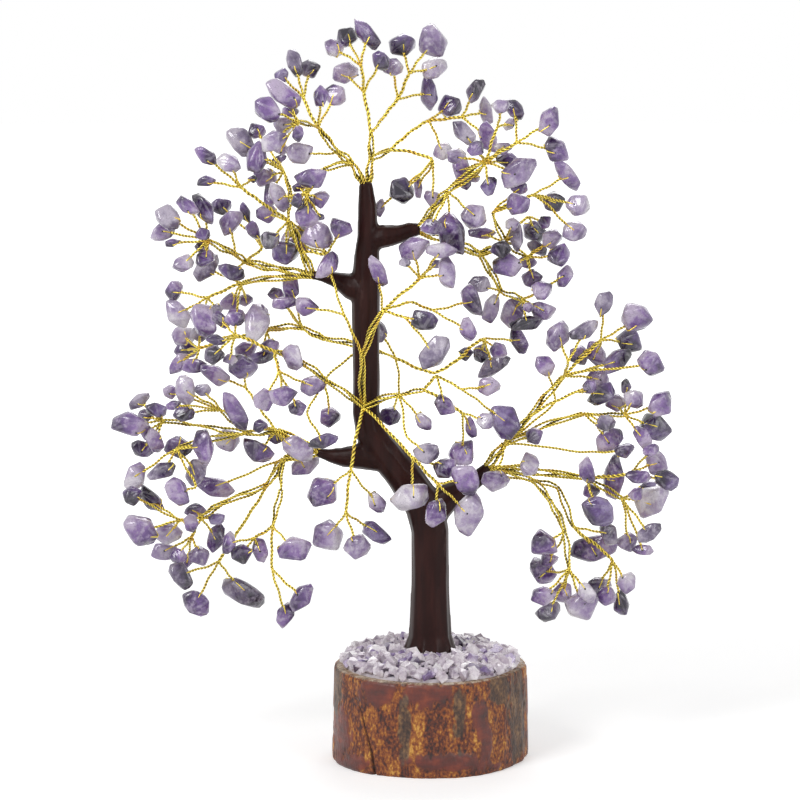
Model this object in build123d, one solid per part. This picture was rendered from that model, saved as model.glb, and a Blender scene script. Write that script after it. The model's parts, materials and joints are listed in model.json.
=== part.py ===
from build123d import *

import math
import os
from dataclasses import dataclass, field

import numpy as np

# Gemstone tree: a slice of branch wood carries a moulded trunk, and boughs of twisted
# brass wire leave the trunk's stubs and end in tumbled amethyst chips.
# Frame: origin at the middle of the slice's underside, +Z up, the viewer stands at -Y.

# Driving sizes, millimetres
photo_distance = 1200.0    # from the viewer to the trunk's axis
photo_pitch = 0.375        # one pixel of the photograph, measured at the trunk's axis
photo_elevation = 8.0      # degrees that the viewer looks down
photo_middle_px = (400.0, 400.0)
trunk_axis_px = 430.0      # column of the photograph that the slice's middle stands in
foot_row_px = 648.0        # row of the photograph that shows the top of the trunk's flared foot
foot_rise = 5.95           # that row above the slice

slice_radius = 37.0        # wood slice, bark included
slice_height = 35.5
slice_taper = 2.0          # how much narrower the slice is at its top
slice_edge = 1.2           # rounded lip of the bark
slice_sides = 30
slice_swell = 0.9          # unevenness of the bark line
socket_depth = 13.0        # hole in the slice for the trunk's peg
peg_radius = 4.0
peg_length = 12.0
peg_play = 0.1

rim_width = 2.5            # bare wood between the glue and the bark
glue_thickness = 1.2
foot_play = 0.3            # between the glue and the trunk's foot
chip_height = 3.4          # gravel at the rim
heap_height = 2.6          # how much taller the gravel is beside the trunk

core_radius = 2.0          # wire bundle inside the trunk
core_branch_radius = 1.2   # its arms inside the stubs
core_tip_wall = 3.0        # solid trunk past the end of each arm

twig_radius = 0.55         # two strands that hold one stone
bundle_growth = 0.27       # power at which a run grows with the stones that it carries
stone_gap = 0.4            # least room between any two pieces of the crown
root_gap = 0.4             # bough clear of its stub, so that it can swing
crown_half_depth = 46.0
depth_step = 1.0           # how finely a free depth is looked for
stone_scatter = 9.0        # how far stones of one fork spread in depth
least_twig = 1.6           # wire that shows between a fork and its stone
thin_share = 0.66          # a chip's thickness, as a share of its width
chip_growth = 1.04         # a chip's corners stand this far out from its seen outline
least_edge = 0.004         # corners of a cut wire nearer than this are one
on_plane = 0.001           # a corner nearer to a cutting plane than this lies on it
flat_limit = 4e-8          # a face that bends by less than this is flat
swing_limit = 6.0          # degrees that a bough bends each way
fork_angle = 17.0          # degrees, least angle between two runs of one fork
tilt_limit = 22.0          # degrees that a chip is turned away from the viewer

trunk_sides = 10
limb_sides = 8
core_sides = 6
stem_sides = 4
twig_sides = 3
gravel_sides = 5
stone_corners = 9
glue_sides = 40

# Shares, counts and turns
chips_across = 11.0        # gravel chips in a row across the glue
chip_share = 0.465         # a gravel chip's radius, as a share of its spacing
chip_radius_shares = (0.9, 0.1)
chip_corner_wobble = 0.2
gravel_top_share = 0.62
gravel_height_shares = (0.85, 0.15)
gravel_tone_limits = (-0.85, 0.55)
gravel_row_stride = 31
row_step_share = 0.866
stone_angle_wobble = 0.03
stone_reach_shares = (1.0, 0.06)
stone_lift_shares = (0.8, 0.2)
bark_waves = ((0.6, 2, 0.4), (0.4, 5, 1.0))
bark_scatter_share = 0.25
reach_stride, lift_stride = 7, 3
depth_tries = 44
tip_sections = 2           # of the trunk and of each limb, beside the roots of the boughs
steep_share = 0.9          # an axis this near to Y takes X as its helper
least_square = 1e-12       # keeps a division clear of zero
parallel_limit = 1e-9      # below it two lines count as parallel
golden_turn = 2.399963
scatter_wobble = 1.7
yaw_turn, roll_turn, depth_turn = 1.13, 0.71, 1.9
gravel_turn, gravel_height_turn, gravel_tone_turn = 0.37, 0.9, 1.31
TONES = {"d": "deep", "v": "violet", "m": "violet", "p": "pale", "g": "smoky"}

# Sizes that follow from them
glue_radius = slice_radius - slice_taper - rim_width
chip_pitch = 2 * glue_radius / chips_across
chip_radius = chip_share * chip_pitch


@dataclass
class Bough:
    """One bough: its root on a stub, its forks and the chips that each fork carries.

    root_px is the pixel of the root and root_depth its place behind the trunk's axis.
    limb is the part of the trunk whose end it leaves, or "" where it leaves the shaft's side.
    forks_px rows: name, the fork it grows from, column, row, depth share of the crown.
    chips_px rows: fork, column, row, length, width, lean in degrees, tone.
    """

    name: str
    root_px: tuple
    root_depth: float
    limb: str
    forks_px: list
    chips_px: list
    places: dict = field(default_factory=dict)
    load: dict = field(default_factory=dict)


# The trunk: column, row and half width in pixels, from the foot to the tip
trunk_px = [
    (430, 648, 26.5), (430, 635, 21.5), (430, 583, 19), (430, 530, 19), (424, 505, 20),
    (404, 476, 18), (384, 452, 17), (370, 432, 15.5), (366, 412, 14), (366, 360, 13.5),
    (366, 310, 14), (366, 280, 14), (367, 255, 12.5), (368, 235, 10.5), (367.5, 205, 9.5),
    (366, 182, 6.5),
]
foot_flare_px = 30
limbs_px = {
    "right": [(432, 512, 17), (452, 494, 13), (468, 486, 10), (480, 476, 8), (488, 467, 5)],
    "left": [(378, 458, 14), (358, 456, 13), (342, 457, 10), (328, 455, 6.5), (317, 452, 4)],
    "upper": [(370, 240, 11), (385, 236, 12), (400, 234, 9), (412, 230, 7.5), (420, 229, 6.5)],
    "middle": [(364, 290, 14), (350, 286, 13), (337, 280, 8), (322, 276, 5.5), (311, 275, 4.5)],
}
core_px = [(430, 530), (366, 420), (366, 200)]
core_arms_px = [((366, 250), (410, 231)), ((366, 300), (322, 276)),
                ((388, 454), (328, 455)), ((424, 520), (478, 478))]
shaft_half_px = 14         # half width of the shaft where the two sprays leave it
spray_depth = shaft_half_px * photo_pitch * math.cos(math.pi / trunk_sides) + root_gap

BOUGHS = [
    Bough(
        "top_left", (361.5, 181.5), -1.6, "tip",
        [("a0", "root", 352, 164, -0.07), ("a1", "a0", 339, 153, -0.1), ("a2", "a1", 319, 129, -0.16),
         ("a3", "a2", 304, 99, -0.02), ("a4", "a2", 299, 122, -0.45), ("a5", "a0", 323, 170, -0.25),
         ("a6", "a5", 306, 193, -0.42), ("a7", "a1", 325, 154, -0.05)],
        [("a3", 295, 63, 28, 15, -75, "g"), ("a3", 310, 69, 20, 17, 0, "g"),
         ("a3", 282, 76, 15, 14, 0, "d"), ("a2", 321, 96, 21, 13, 80, "v"),
         ("a2", 335, 95, 23, 20, -20, "m"), ("a4", 283, 93, 38, 20, -38, "m"),
         ("a4", 267, 109, 28, 20, -45, "v"), ("a4", 284, 126, 20, 16, 0, "p"),
         ("a4", 290, 111, 16, 11, 0, "m"), ("a4", 273, 141, 26, 18, 30, "p"),
         ("a4", 298, 134, 16, 11, 80, "v"), ("a4", 281, 149, 14, 12, 0, "p"),
         ("a7", 300, 153, 26, 22, 0, "p"), ("a6", 312, 178, 32, 19, 5, "m"),
         ("a6", 321, 199, 17, 16, 0, "v"), ("a6", 297, 201, 14, 10, 90, "d"),
         ("a6", 306, 217, 24, 20, -40, "v"), ("a6", 320, 217, 9, 7, 0, "g"),
         ("a6", 279, 197, 34, 14, -65, "p"), ("a6", 299, 187, 14, 9, 20, "d"),
         ("a6", 308, 203, 15, 13, 0, "d")],
    ),
    Bough(
        "top_right", (370.5, 181.5), 1.6, "tip",
        [("b0", "root", 371, 160, 0.05), ("b1", "b0", 371, 135, 0.02), ("b2", "b1", 364, 93, 0.08),
         ("b3", "b2", 361, 66, -0.1), ("b4", "b1", 383, 118, 0.2), ("b5", "b4", 397, 100, 0.3),
         ("b6", "b5", 409, 74, 0.2), ("b7", "b0", 390, 150, 0.2), ("b8", "b7", 410, 132, 0.32),
         ("b9", "b8", 428, 121, 0.4), ("b10", "b9", 461, 117, 0.35), ("b11", "b7", 432, 159, 0.1)],
        [("b2", 345, 73, 23, 21, 0, "v"), ("b2", 381, 61, 20, 16, -60, "d"),
         ("b3", 334, 48, 22, 17, -20, "p"), ("b3", 347, 37, 21, 19, 30, "d"),
         ("b3", 367, 35, 38, 15, -52, "v"), ("b5", 393, 67, 20, 17, 0, "p"),
         ("b5", 429, 93, 34, 17, -85, "d"), ("b6", 402, 45, 27, 21, 10, "d"),
         ("b6", 432, 42, 34, 26, -75, "p"), ("b6", 434, 68, 26, 20, 20, "p"),
         ("b9", 450, 106, 24, 22, 0, "v"), ("b9", 443, 151, 20, 17, 0, "p"),
         ("b10", 475, 91, 26, 15, 60, "g"), ("b10", 486, 112, 32, 12, -80, "p"),
         ("b10", 488, 138, 34, 17, -75, "v"), ("b11", 402, 190, 26, 24, 30, "d"),
         ("b11", 418, 187, 25, 8, 90, "p"), ("b11", 433, 199, 20, 14, -35, "p"),
         ("b11", 380, 208, 18, 9, 75, "v")],
    ),
    Bough(
        "upper_right", (420, 229), 0.0, "upper",
        [("c0", "root", 436, 205, -0.1), ("c1", "c0", 447, 192, -0.2), ("c2", "c1", 484, 163, -0.32),
         ("c3", "c2", 497, 128, -0.25), ("c4", "c2", 516, 143, -0.4), ("c7", "root", 455, 243, 0.1),
         ("c8", "c7", 479, 254, 0.2), ("c9", "c8", 503, 243, 0.12), ("c10", "c9", 527, 257, 0.2),
         ("c11", "c9", 528, 217, 0.3), ("c12", "c8", 500, 290, 0.3), ("c13", "c12", 522, 299, 0.12),
         ("c6", "c9", 493, 213, -0.08), ("c5", "c6", 533, 195, -0.02)],
        [("c1", 452, 235, 42, 26, -70, "v"), ("c1", 474, 216, 26, 22, 0, "p"),
         ("c1", 432, 227, 22, 15, 0, "m"), ("c2", 464, 133, 30, 14, -42, "g"),
         ("c2", 462, 170, 40, 17, -75, "m"), ("c2", 476, 148, 18, 14, 30, "v"),
         ("c2", 456, 156, 20, 14, 0, "p"), ("c2", 508, 160, 26, 14, -15, "d"),
         ("c2", 518, 172, 38, 24, 35, "p"), ("c2", 489, 186, 19, 14, 70, "d"),
         ("c2", 503, 147, 18, 9, 0, "p"), ("c2", 474, 178, 12, 9, 0, "p"),
         ("c3", 501, 106, 17, 13, 0, "p"), ("c3", 510, 124, 16, 9, 40, "p"),
         ("c4", 515, 109, 24, 15, -50, "d"), ("c4", 549, 122, 29, 19, 70, "m"),
         ("c4", 556, 150, 28, 20, -55, "m"), ("c5", 567, 175, 42, 15, -52, "v"),
         ("c5", 554, 202, 22, 19, 0, "d"), ("c5", 578, 205, 24, 20, 0, "p"),
         ("c5", 574, 231, 24, 20, 0, "p"), ("c6", 519, 188, 17, 12, 0, "m"),
         ("c6", 518, 204, 24, 20, -10, "m"), ("c9", 483, 233, 30, 11, -5, "v"),
         ("c9", 516, 235, 30, 14, -85, "g"), ("c9", 512, 224, 14, 12, 0, "p"),
         ("c9", 501, 249, 20, 16, 0, "d"), ("c11", 535, 232, 26, 19, -30, "d"),
         ("c11", 545, 222, 14, 12, 0, "m"), ("c10", 559, 255, 26, 20, 40, "v"),
         ("c10", 537, 248, 22, 12, -25, "g"), ("c10", 552, 239, 20, 18, 0, "m"),
         ("c10", 508, 265, 30, 20, 0, "v"), ("c10", 527, 262, 20, 12, 0, "v"),
         ("c10", 532, 279, 20, 18, 0, "d"), ("c12", 480, 284, 22, 16, 0, "g"),
         ("c12", 491, 309, 28, 16, 75, "p"), ("c13", 512, 312, 32, 22, 75, "p"),
         ("c13", 542, 290, 22, 19, 0, "v"), ("c13", 565, 276, 24, 14, 65, "v"),
         ("c13", 543, 311, 28, 17, -20, "v"), ("c13", 527, 323, 34, 13, 10, "d"),
         ("c13", 528, 307, 11, 10, 0, "v")],
    ),
    Bough(
        "mid_left", (311, 275), 0.0, "middle",
        [("d0", "root", 302, 252, -0.04), ("d1", "d0", 289, 222, -0.12), ("d2", "d1", 290, 192, -0.1),
         ("d3", "d2", 284, 172, 0.0), ("d4", "d1", 262, 203, -0.25), ("d5", "d4", 242, 188, -0.32),
         ("d6", "root", 280, 269, 0.1), ("d7", "d6", 247, 262, 0.16), ("d8", "d7", 236, 255, 0.02),
         ("d9", "d8", 209, 241, -0.1), ("d10", "d7", 262, 248, 0.36), ("d12", "root", 242, 283, 0.34),
         ("d14", "d12", 209, 297, 0.22), ("d15", "d0", 326, 254, -0.1)],
        [("d1", 285, 252, 28, 24, 0, "d"), ("d1", 267, 213, 21, 18, 0, "v"),
         ("d1", 270, 240, 20, 18, 0, "g"), ("d1", 290, 238, 18, 14, 0, "v"),
         ("d1", 304, 232, 20, 12, -45, "g"), ("d15", 317, 235, 30, 28, 0, "p"),
         ("d15", 341, 229, 24, 20, -40, "m"), ("d15", 303, 245, 18, 13, 20, "v"),
         ("d3", 265, 177, 28, 20, -45, "p"), ("d3", 257, 158, 32, 19, 70, "m"),
         ("d3", 278, 160, 20, 8, 30, "d"), ("d3", 257, 131, 17, 16, 0, "v"),
         ("d3", 241, 141, 34, 22, -50, "g"), ("d3", 270, 195, 26, 12, 85, "v"),
         ("d5", 206, 181, 18, 10, 5, "d"), ("d5", 206, 156, 24, 14, -35, "v"),
         ("d5", 229, 163, 24, 16, -30, "p"), ("d5", 253, 179, 9, 7, 0, "d"),
         ("d10", 253, 230, 20, 13, -70, "m"), ("d10", 245, 213, 22, 10, -75, "d"),
         ("d10", 222, 206, 20, 17, 0, "d"), ("d8", 230, 222, 28, 18, 55, "p"),
         ("d7", 232, 272, 28, 15, -20, "d"), ("d9", 168, 217, 26, 22, -40, "g"),
         ("d9", 164, 231, 28, 18, 35, "p"), ("d9", 188, 206, 26, 13, -35, "m"),
         ("d9", 204, 209, 34, 16, -60, "d"), ("d9", 172, 243, 15, 8, 10, "v"),
         ("d9", 203, 234, 15, 12, 0, "d"), ("d9", 203, 247, 16, 12, 0, "d"),
         ("d9", 205, 258, 22, 14, 30, "d"), ("d9", 184, 263, 22, 15, 20, "p"),
         ("d12", 206, 268, 34, 18, 45, "g"), ("d12", 231, 302, 24, 16, 20, "v"),
         ("d12", 246, 300, 14, 13, 0, "v"), ("d14", 217, 310, 14, 11, 0, "g"),
         ("d12", 236, 315, 18, 14, 0, "m"), ("d14", 174, 291, 22, 16, 70, "m"),
         ("d14", 178, 314, 32, 20, -55, "p"), ("d14", 204, 320, 34, 23, -70, "v")],
    ),
    Bough(
        "front_spray", (363, 405), -spray_depth, "",
        [("f0", "root", 362, 357, -0.24), ("f1", "f0", 344, 315, -0.34), ("f3", "f0", 382, 312, -0.32),
         ("f5", "f3", 419, 279, -0.36), ("f6", "f3", 404, 317, -0.4), ("f7", "root", 328, 382, -0.28),
         ("f8", "f7", 300, 361, -0.34), ("f9", "f8", 276, 352, -0.42), ("f10", "f9", 236, 335, -0.52),
         ("f11", "f9", 279, 371, -0.6), ("f12", "f7", 307, 413, -0.5), ("f13", "root", 398, 395, -0.3),
         ("f14", "f13", 423, 390, -0.36), ("f15", "f14", 436, 376, -0.45),
         ("f16", "f14", 461, 412, -0.42), ("f19", "f15", 461, 389, -0.56),
         ("f20", "f13", 407, 437, -0.5), ("f21", "root", 351, 469, -0.33),
         ("f22", "f21", 346, 512, -0.28), ("f23", "root", 412, 457, -0.42),
         ("f24", "f23", 437, 483, -0.5), ("f25", "f3", 410, 302, -0.3), ("f26", "f25", 432, 310, -0.2)],
        [("f1", 328, 265, 32, 17, 50, "m"), ("f1", 306, 307, 24, 18, -25, "m"),
         ("f3", 378, 272, 36, 14, -66, "v"), ("f5", 414, 248, 32, 20, 20, "m"),
         ("f5", 405, 262, 12, 9, 0, "g"), ("f5", 441, 250, 30, 14, 0, "p"),
         ("f5", 447, 273, 32, 17, -85, "p"), ("f5", 436, 264, 12, 8, 0, "g"),
         ("f6", 424, 320, 24, 20, 0, "d"), ("f6", 434, 352, 38, 21, 56, "g"),
         ("f11", 312, 386, 24, 18, 0, "p"), ("f11", 265, 400, 22, 20, 0, "m"),
         ("f11", 284, 396, 28, 18, 0, "m"), ("f11", 298, 408, 18, 15, 0, "v"),
         ("f12", 323, 441, 30, 13, 20, "d"), ("f8", 293, 357, 26, 17, -70, "p"),
         ("f10", 235, 319, 18, 14, 0, "m"), ("f10", 221, 320, 22, 12, -45, "m"),
         ("f10", 216, 340, 19, 10, -15, "d"), ("f10", 214, 355, 20, 17, 0, "g"),
         ("f10", 230, 359, 14, 10, 0, "p"), ("f13", 424, 422, 20, 14, -50, "p"),
         ("f15", 445, 406, 24, 17, -60, "v"), ("f16", 471, 428, 26, 11, -80, "m"),
         ("f16", 463, 453, 28, 24, 30, "m"), ("f16", 486, 421, 17, 16, 0, "p"),
         ("f19", 489, 386, 22, 18, 0, "m"), ("f19", 505, 421, 36, 26, -60, "d"),
         ("f20", 427, 453, 26, 20, 0, "g"), ("f21", 323, 492, 32, 28, 30, "m"),
         ("f21", 377, 503, 22, 16, -60, "p"), ("f22", 328, 537, 32, 28, -70, "p"),
         ("f22", 357, 546, 24, 22, 0, "p"), ("f22", 376, 533, 34, 17, -42, "d"),
         ("f23", 412, 497, 40, 24, 5, "p"), ("f23", 446, 468, 24, 20, 0, "m"),
         ("f24", 466, 479, 32, 25, -55, "v"), ("f24", 436, 513, 28, 20, 60, "v"),
         ("f24", 469, 514, 44, 25, 75, "p"), ("f26", 468, 330, 24, 15, -80, "v"),
         ("f26", 472, 301, 34, 18, -70, "m")],
    ),
    Bough(
        "back_spray", (366, 345), spray_depth, "",
        [("h1", "root", 326, 339, 0.3), ("h2", "h1", 303, 328, 0.36), ("h3", "h2", 268, 329, 0.42),
         ("h4", "h3", 200, 348, 0.4), ("h5", "root", 395, 358, 0.28), ("h6", "h5", 434, 373, 0.32),
         ("h7", "h6", 456, 361, 0.3), ("h8", "h7", 482, 339, 0.22), ("h9", "h5", 399, 393, 0.34),
         ("h10", "root", 326, 378, 0.15)],
        [("h2", 291, 286, 27, 16, -80, "v"), ("h2", 284, 303, 26, 13, 5, "m"),
         ("h2", 276, 294, 16, 12, 0, "v"), ("h3", 257, 321, 42, 24, 75, "p"),
         ("h3", 271, 346, 20, 14, 0, "m"), ("h3", 262, 357, 30, 13, 10, "d"),
         ("h3", 246, 350, 24, 15, 15, "v"), ("h9", 390, 416, 21, 18, 0, "d"),
         ("h10", 330, 417, 21, 19, 0, "m"), ("h4", 200, 333, 20, 16, 0, "g"),
         ("h4", 183, 336, 24, 20, 0, "p"), ("h4", 186, 350, 24, 18, 0, "v"),
         ("h4", 179, 363, 26, 14, 50, "v"), ("h4", 194, 366, 26, 15, 10, "m"),
         ("h5", 381, 332, 22, 13, 85, "g"), ("h7", 466, 354, 14, 13, 0, "d"),
         ("h8", 482, 353, 20, 17, 60, "d"), ("h8", 499, 351, 18, 15, -40, "v"),
         ("h8", 493, 366, 38, 16, 35, "g"), ("h8", 519, 341, 26, 16, -60, "m")],
    ),
    Bough(
        "lower_left", (317, 452), 0.0, "left",
        [("g0", "root", 277, 431, -0.05), ("g1", "g0", 247, 433, -0.1), ("g2", "g1", 222, 411, -0.22),
         ("g3", "g1", 203, 426, -0.06), ("g4", "g3", 164, 421, -0.14), ("g6", "g1", 178, 448, -0.22),
         ("g7", "g0", 258, 405, 0.1), ("g8", "g7", 246, 388, 0.22), ("g9", "root", 284, 459, 0.08),
         ("g10", "g9", 268, 484, 0.14), ("g16", "g10", 223, 503, 0.06), ("g17", "g16", 202, 517, 0.0),
         ("g18", "g17", 181, 520, -0.08), ("g19", "g17", 192, 536, 0.14),
         ("g11", "g10", 245, 521, 0.26), ("g20", "g11", 219, 561, 0.3), ("g12", "g9", 281, 490, -0.06),
         ("g13", "g12", 273, 525, -0.1), ("g14", "g13", 272, 568, -0.06),
         ("g15", "g13", 254, 538, 0.04), ("g21", "g6", 196, 487, -0.3)],
        [("g0", 298, 449, 34, 20, -30, "p"), ("g0", 259, 452, 38, 20, -38, "v"),
         ("g0", 305, 465, 30, 18, 20, "v"), ("g0", 276, 437, 16, 14, 0, "d"),
         ("g0", 260, 426, 14, 12, 0, "d"), ("g1", 228, 440, 26, 22, 0, "p"),
         ("g8", 243, 367, 30, 24, -30, "d"), ("g8", 216, 375, 34, 17, -30, "v"),
         ("g2", 235, 411, 42, 17, -60, "m"), ("g2", 185, 390, 30, 20, -80, "p"),
         ("g2", 203, 390, 16, 12, 0, "g"), ("g2", 184, 413, 20, 17, 0, "d"),
         ("g2", 171, 392, 16, 13, 0, "m"), ("g2", 173, 405, 16, 8, 20, "m"),
         ("g4", 130, 424, 36, 22, 0, "v"), ("g4", 139, 401, 24, 13, 35, "g"),
         ("g4", 157, 410, 22, 13, -20, "d"), ("g4", 155, 441, 30, 15, -70, "m"),
         ("g4", 146, 432, 22, 12, -70, "m"), ("g4", 143, 449, 24, 16, -20, "d"),
         ("g4", 145, 416, 16, 13, 0, "g"), ("g6", 178, 447, 28, 22, 0, "d"),
         ("g6", 203, 447, 36, 20, -85, "m"), ("g6", 163, 471, 32, 15, 20, "g"),
         ("g6", 135, 477, 28, 19, 75, "p"), ("g6", 196, 472, 28, 20, 70, "g"),
         ("g9", 215, 487, 38, 19, -12, "m"), ("g21", 177, 492, 30, 21, -60, "m"),
         ("g18", 152, 501, 36, 16, -55, "d"), ("g18", 133, 496, 20, 18, 0, "d"),
         ("g18", 141, 531, 40, 27, -45, "v"), ("g18", 168, 534, 26, 20, 0, "p"),
         ("g17", 196, 511, 22, 14, 0, "d"), ("g18", 191, 523, 17, 14, 90, "m"),
         ("g17", 217, 519, 17, 12, 0, "d"), ("g17", 216, 538, 30, 16, 75, "m"),
         ("g19", 165, 552, 28, 18, 0, "p"), ("g19", 178, 556, 18, 14, 0, "v"),
         ("g19", 187, 561, 14, 12, 0, "v"), ("g19", 200, 556, 22, 18, 0, "p"),
         ("g15", 229, 543, 24, 13, 75, "v"), ("g15", 242, 554, 22, 18, 0, "d"),
         ("g15", 260, 550, 24, 15, -70, "m"), ("g20", 181, 575, 30, 19, -55, "g"),
         ("g20", 196, 603, 30, 22, -35, "v"), ("g20", 243, 593, 52, 23, -31, "g"),
         ("g13", 295, 549, 34, 23, 15, "v"), ("g14", 302, 597, 32, 17, 50, "v"),
         ("g14", 285, 615, 26, 16, 70, "m")],
    ),
    Bough(
        "lower_right", (488, 467), 0.0, "right",
        [("e0", "root", 504, 445, -0.05), ("e1", "e0", 529, 417, -0.1), ("e2", "e1", 563, 377, -0.14),
         ("e3", "e2", 600, 341, -0.2), ("e18", "e2", 568, 362, -0.34), ("e4", "e1", 575, 392, -0.26),
         ("e5", "e0", 583, 414, 0.02), ("e6", "e5", 624, 415, -0.06), ("e7", "e0", 580, 452, 0.16),
         ("e8", "root", 585, 478, 0.06), ("e15", "e8", 628, 474, -0.02), ("e16", "e8", 621, 498, 0.14),
         ("e9", "root", 532, 480, 0.2), ("e10", "e9", 557, 487, 0.26), ("e11", "e10", 573, 526, 0.3),
         ("e17", "e11", 612, 560, 0.34), ("e19", "e9", 550, 500, 0.04), ("e12", "e19", 564, 531, 0.0),
         ("e13", "e12", 569, 568, -0.05), ("e20", "e0", 555, 402, 0.05)],
        [("e0", 495, 481, 27, 22, -10, "p"), ("root", 530, 464, 24, 19, 80, "p"),
         ("e3", 637, 319, 36, 27, -42, "v"), ("e3", 630, 342, 28, 24, -60, "d"),
         ("e3", 604, 303, 26, 17, 75, "g"), ("e2", 617, 361, 32, 18, 40, "d"),
         ("e2", 598, 378, 22, 19, 0, "v"), ("e18", 585, 330, 34, 15, 25, "g"),
         ("e18", 558, 336, 30, 20, 60, "p"), ("e3", 596, 354, 28, 18, -70, "m"),
         ("e3", 579, 356, 20, 17, -70, "m"), ("e20", 545, 366, 22, 18, -50, "v"),
         ("e2", 651, 364, 28, 22, -60, "v"), ("e4", 603, 394, 30, 18, 20, "d"),
         ("e4", 590, 387, 16, 13, 0, "v"), ("e6", 616, 403, 20, 17, 0, "m"),
         ("e6", 626, 386, 15, 10, 80, "g"), ("e6", 634, 399, 20, 17, -50, "p"),
         ("e6", 661, 404, 28, 22, 45, "m"), ("e6", 655, 428, 32, 26, -40, "d"),
         ("e6", 643, 438, 26, 14, -60, "m"), ("e5", 606, 423, 19, 16, 0, "g"),
         ("e5", 609, 440, 30, 22, 50, "m"), ("e7", 625, 451, 24, 14, 0, "m"),
         ("e0", 535, 436, 18, 16, 0, "m"), ("e8", 587, 472, 32, 15, -80, "v"),
         ("e8", 591, 491, 17, 14, 0, "m"), ("e8", 598, 511, 34, 28, -30, "d"),
         ("e8", 614, 478, 48, 20, 85, "m"), ("e15", 656, 462, 34, 20, -65, "p"),
         ("e15", 651, 450, 18, 12, 20, "m"), ("e15", 667, 480, 26, 19, -30, "d"),
         ("e15", 638, 477, 26, 13, -5, "m"), ("e16", 651, 501, 38, 27, 45, "p"),
         ("e16", 637, 494, 16, 13, 30, "m"), ("e16", 648, 487, 20, 11, 15, "d"),
         ("e16", 628, 542, 23, 19, 0, "p"), ("e16", 649, 533, 27, 16, 35, "g"),
         ("e16", 643, 550, 22, 11, 0, "m"), ("e11", 594, 548, 48, 26, 16, "v"),
         ("e11", 609, 534, 24, 16, -75, "g"), ("e12", 543, 545, 30, 24, -55, "m"),
         ("e12", 549, 560, 18, 14, 0, "v"), ("e13", 543, 572, 32, 22, -45, "v"),
         ("e13", 543, 596, 24, 17, 0, "v"), ("e13", 563, 593, 22, 20, 0, "v"),
         ("e13", 549, 612, 28, 17, 20, "g"), ("e13", 583, 606, 34, 27, 0, "p"),
         ("e13", 587, 593, 22, 15, -50, "p"), ("e17", 598, 587, 25, 20, 20, "g"),
         ("e17", 606, 596, 20, 19, 0, "m"), ("e17", 627, 583, 20, 18, 60, "p"),
         ("e17", 621, 604, 30, 15, -85, "d")],
    ),
]


def on_sight_line(column, row, depth=0.0):
    """The place at a depth behind the trunk's axis that the photograph shows at a pixel."""
    tilt = math.radians(photo_elevation)
    across = np.array([1.0, 0.0, 0.0])
    ahead = np.array([0.0, math.cos(tilt), -math.sin(tilt)])
    up = np.array([0.0, math.sin(tilt), math.cos(tilt)])
    foot_drop = (foot_row_px - photo_middle_px[1]) * photo_pitch
    fall = photo_distance * foot_drop / (photo_distance * math.cos(tilt) - foot_drop * math.sin(tilt))
    aim_height = slice_height + foot_rise + fall
    aim = np.array([(photo_middle_px[0] - trunk_axis_px) * photo_pitch, 0.0, aim_height])
    eye = aim - photo_distance * ahead
    ray = (
        photo_distance * ahead
        + (column - photo_middle_px[0]) * photo_pitch * across
        + (photo_middle_px[1] - row) * photo_pitch * up
    )
    return eye + ray * (depth - eye[1]) / ray[1]


def unit(vector):
    return vector / np.linalg.norm(vector)


def scatter(index, turn=golden_turn):
    """A value from -1 to 1 that looks random and is the same on every run."""
    return math.sin(turn * index + math.sin(scatter_wobble * index))


def cross_axes(axis):
    """Two unit vectors square to an axis."""
    helper = np.array([0.0, 1.0, 0.0]) if abs(axis[1]) < steep_share else np.array([1.0, 0.0, 0.0])
    side = unit(np.cross(axis, helper))
    return side, np.cross(side, axis)


# Flat-faced solids: a body is a list of faces, and each face a list of corners

def solid_of(faces):
    return Solid(Shell([Face(Wire.make_polygon([tuple(p) for p in loop], close=True)) for loop in faces]))


def prism_faces(start, end, radius, sides):
    """Faces of a straight bar with a regular section, its corners at the radius."""
    side, other = cross_axes(unit(end - start))
    spokes = [
        radius * (math.cos(2 * math.pi * k / sides) * side + math.sin(2 * math.pi * k / sides) * other)
        for k in range(sides)
    ]
    low = [start + spoke for spoke in spokes]
    high = [end + spoke for spoke in spokes]
    walls = [[low[k], low[(k + 1) % sides], high[(k + 1) % sides], high[k]] for k in range(sides)]
    return walls + [low[::-1], high]


def clipped(faces, origin, normal):
    """A convex body cut by a plane: the side that the normal points to is kept."""
    def height(point):
        rise = float(np.dot(point - origin, normal))
        return 0.0 if abs(rise) < on_plane else rise

    if min(height(point) for loop in faces for point in loop) >= 0:
        return faces
    kept, rim = [], []
    for loop in faces:
        heights = [height(point) for point in loop]
        if max(heights) <= 0:
            continue
        part = []
        for k, point in enumerate(loop):
            after, rise, next_rise = loop[(k + 1) % len(loop)], heights[k], heights[(k + 1) % len(loop)]
            if rise >= 0:
                part.append(point)
            if rise == 0:
                rim.append(point)
            if rise * next_rise < 0:
                cut = point + (after - point) * rise / (rise - next_rise)
                part.append(cut)
                rim.append(cut)
        kept.append(part)
    side, other = cross_axes(normal)
    middle = sum(rim) / len(rim)
    rim.sort(key=lambda p: math.atan2(np.dot(p - middle, other), np.dot(p - middle, side)))
    return kept + [rim]


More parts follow.
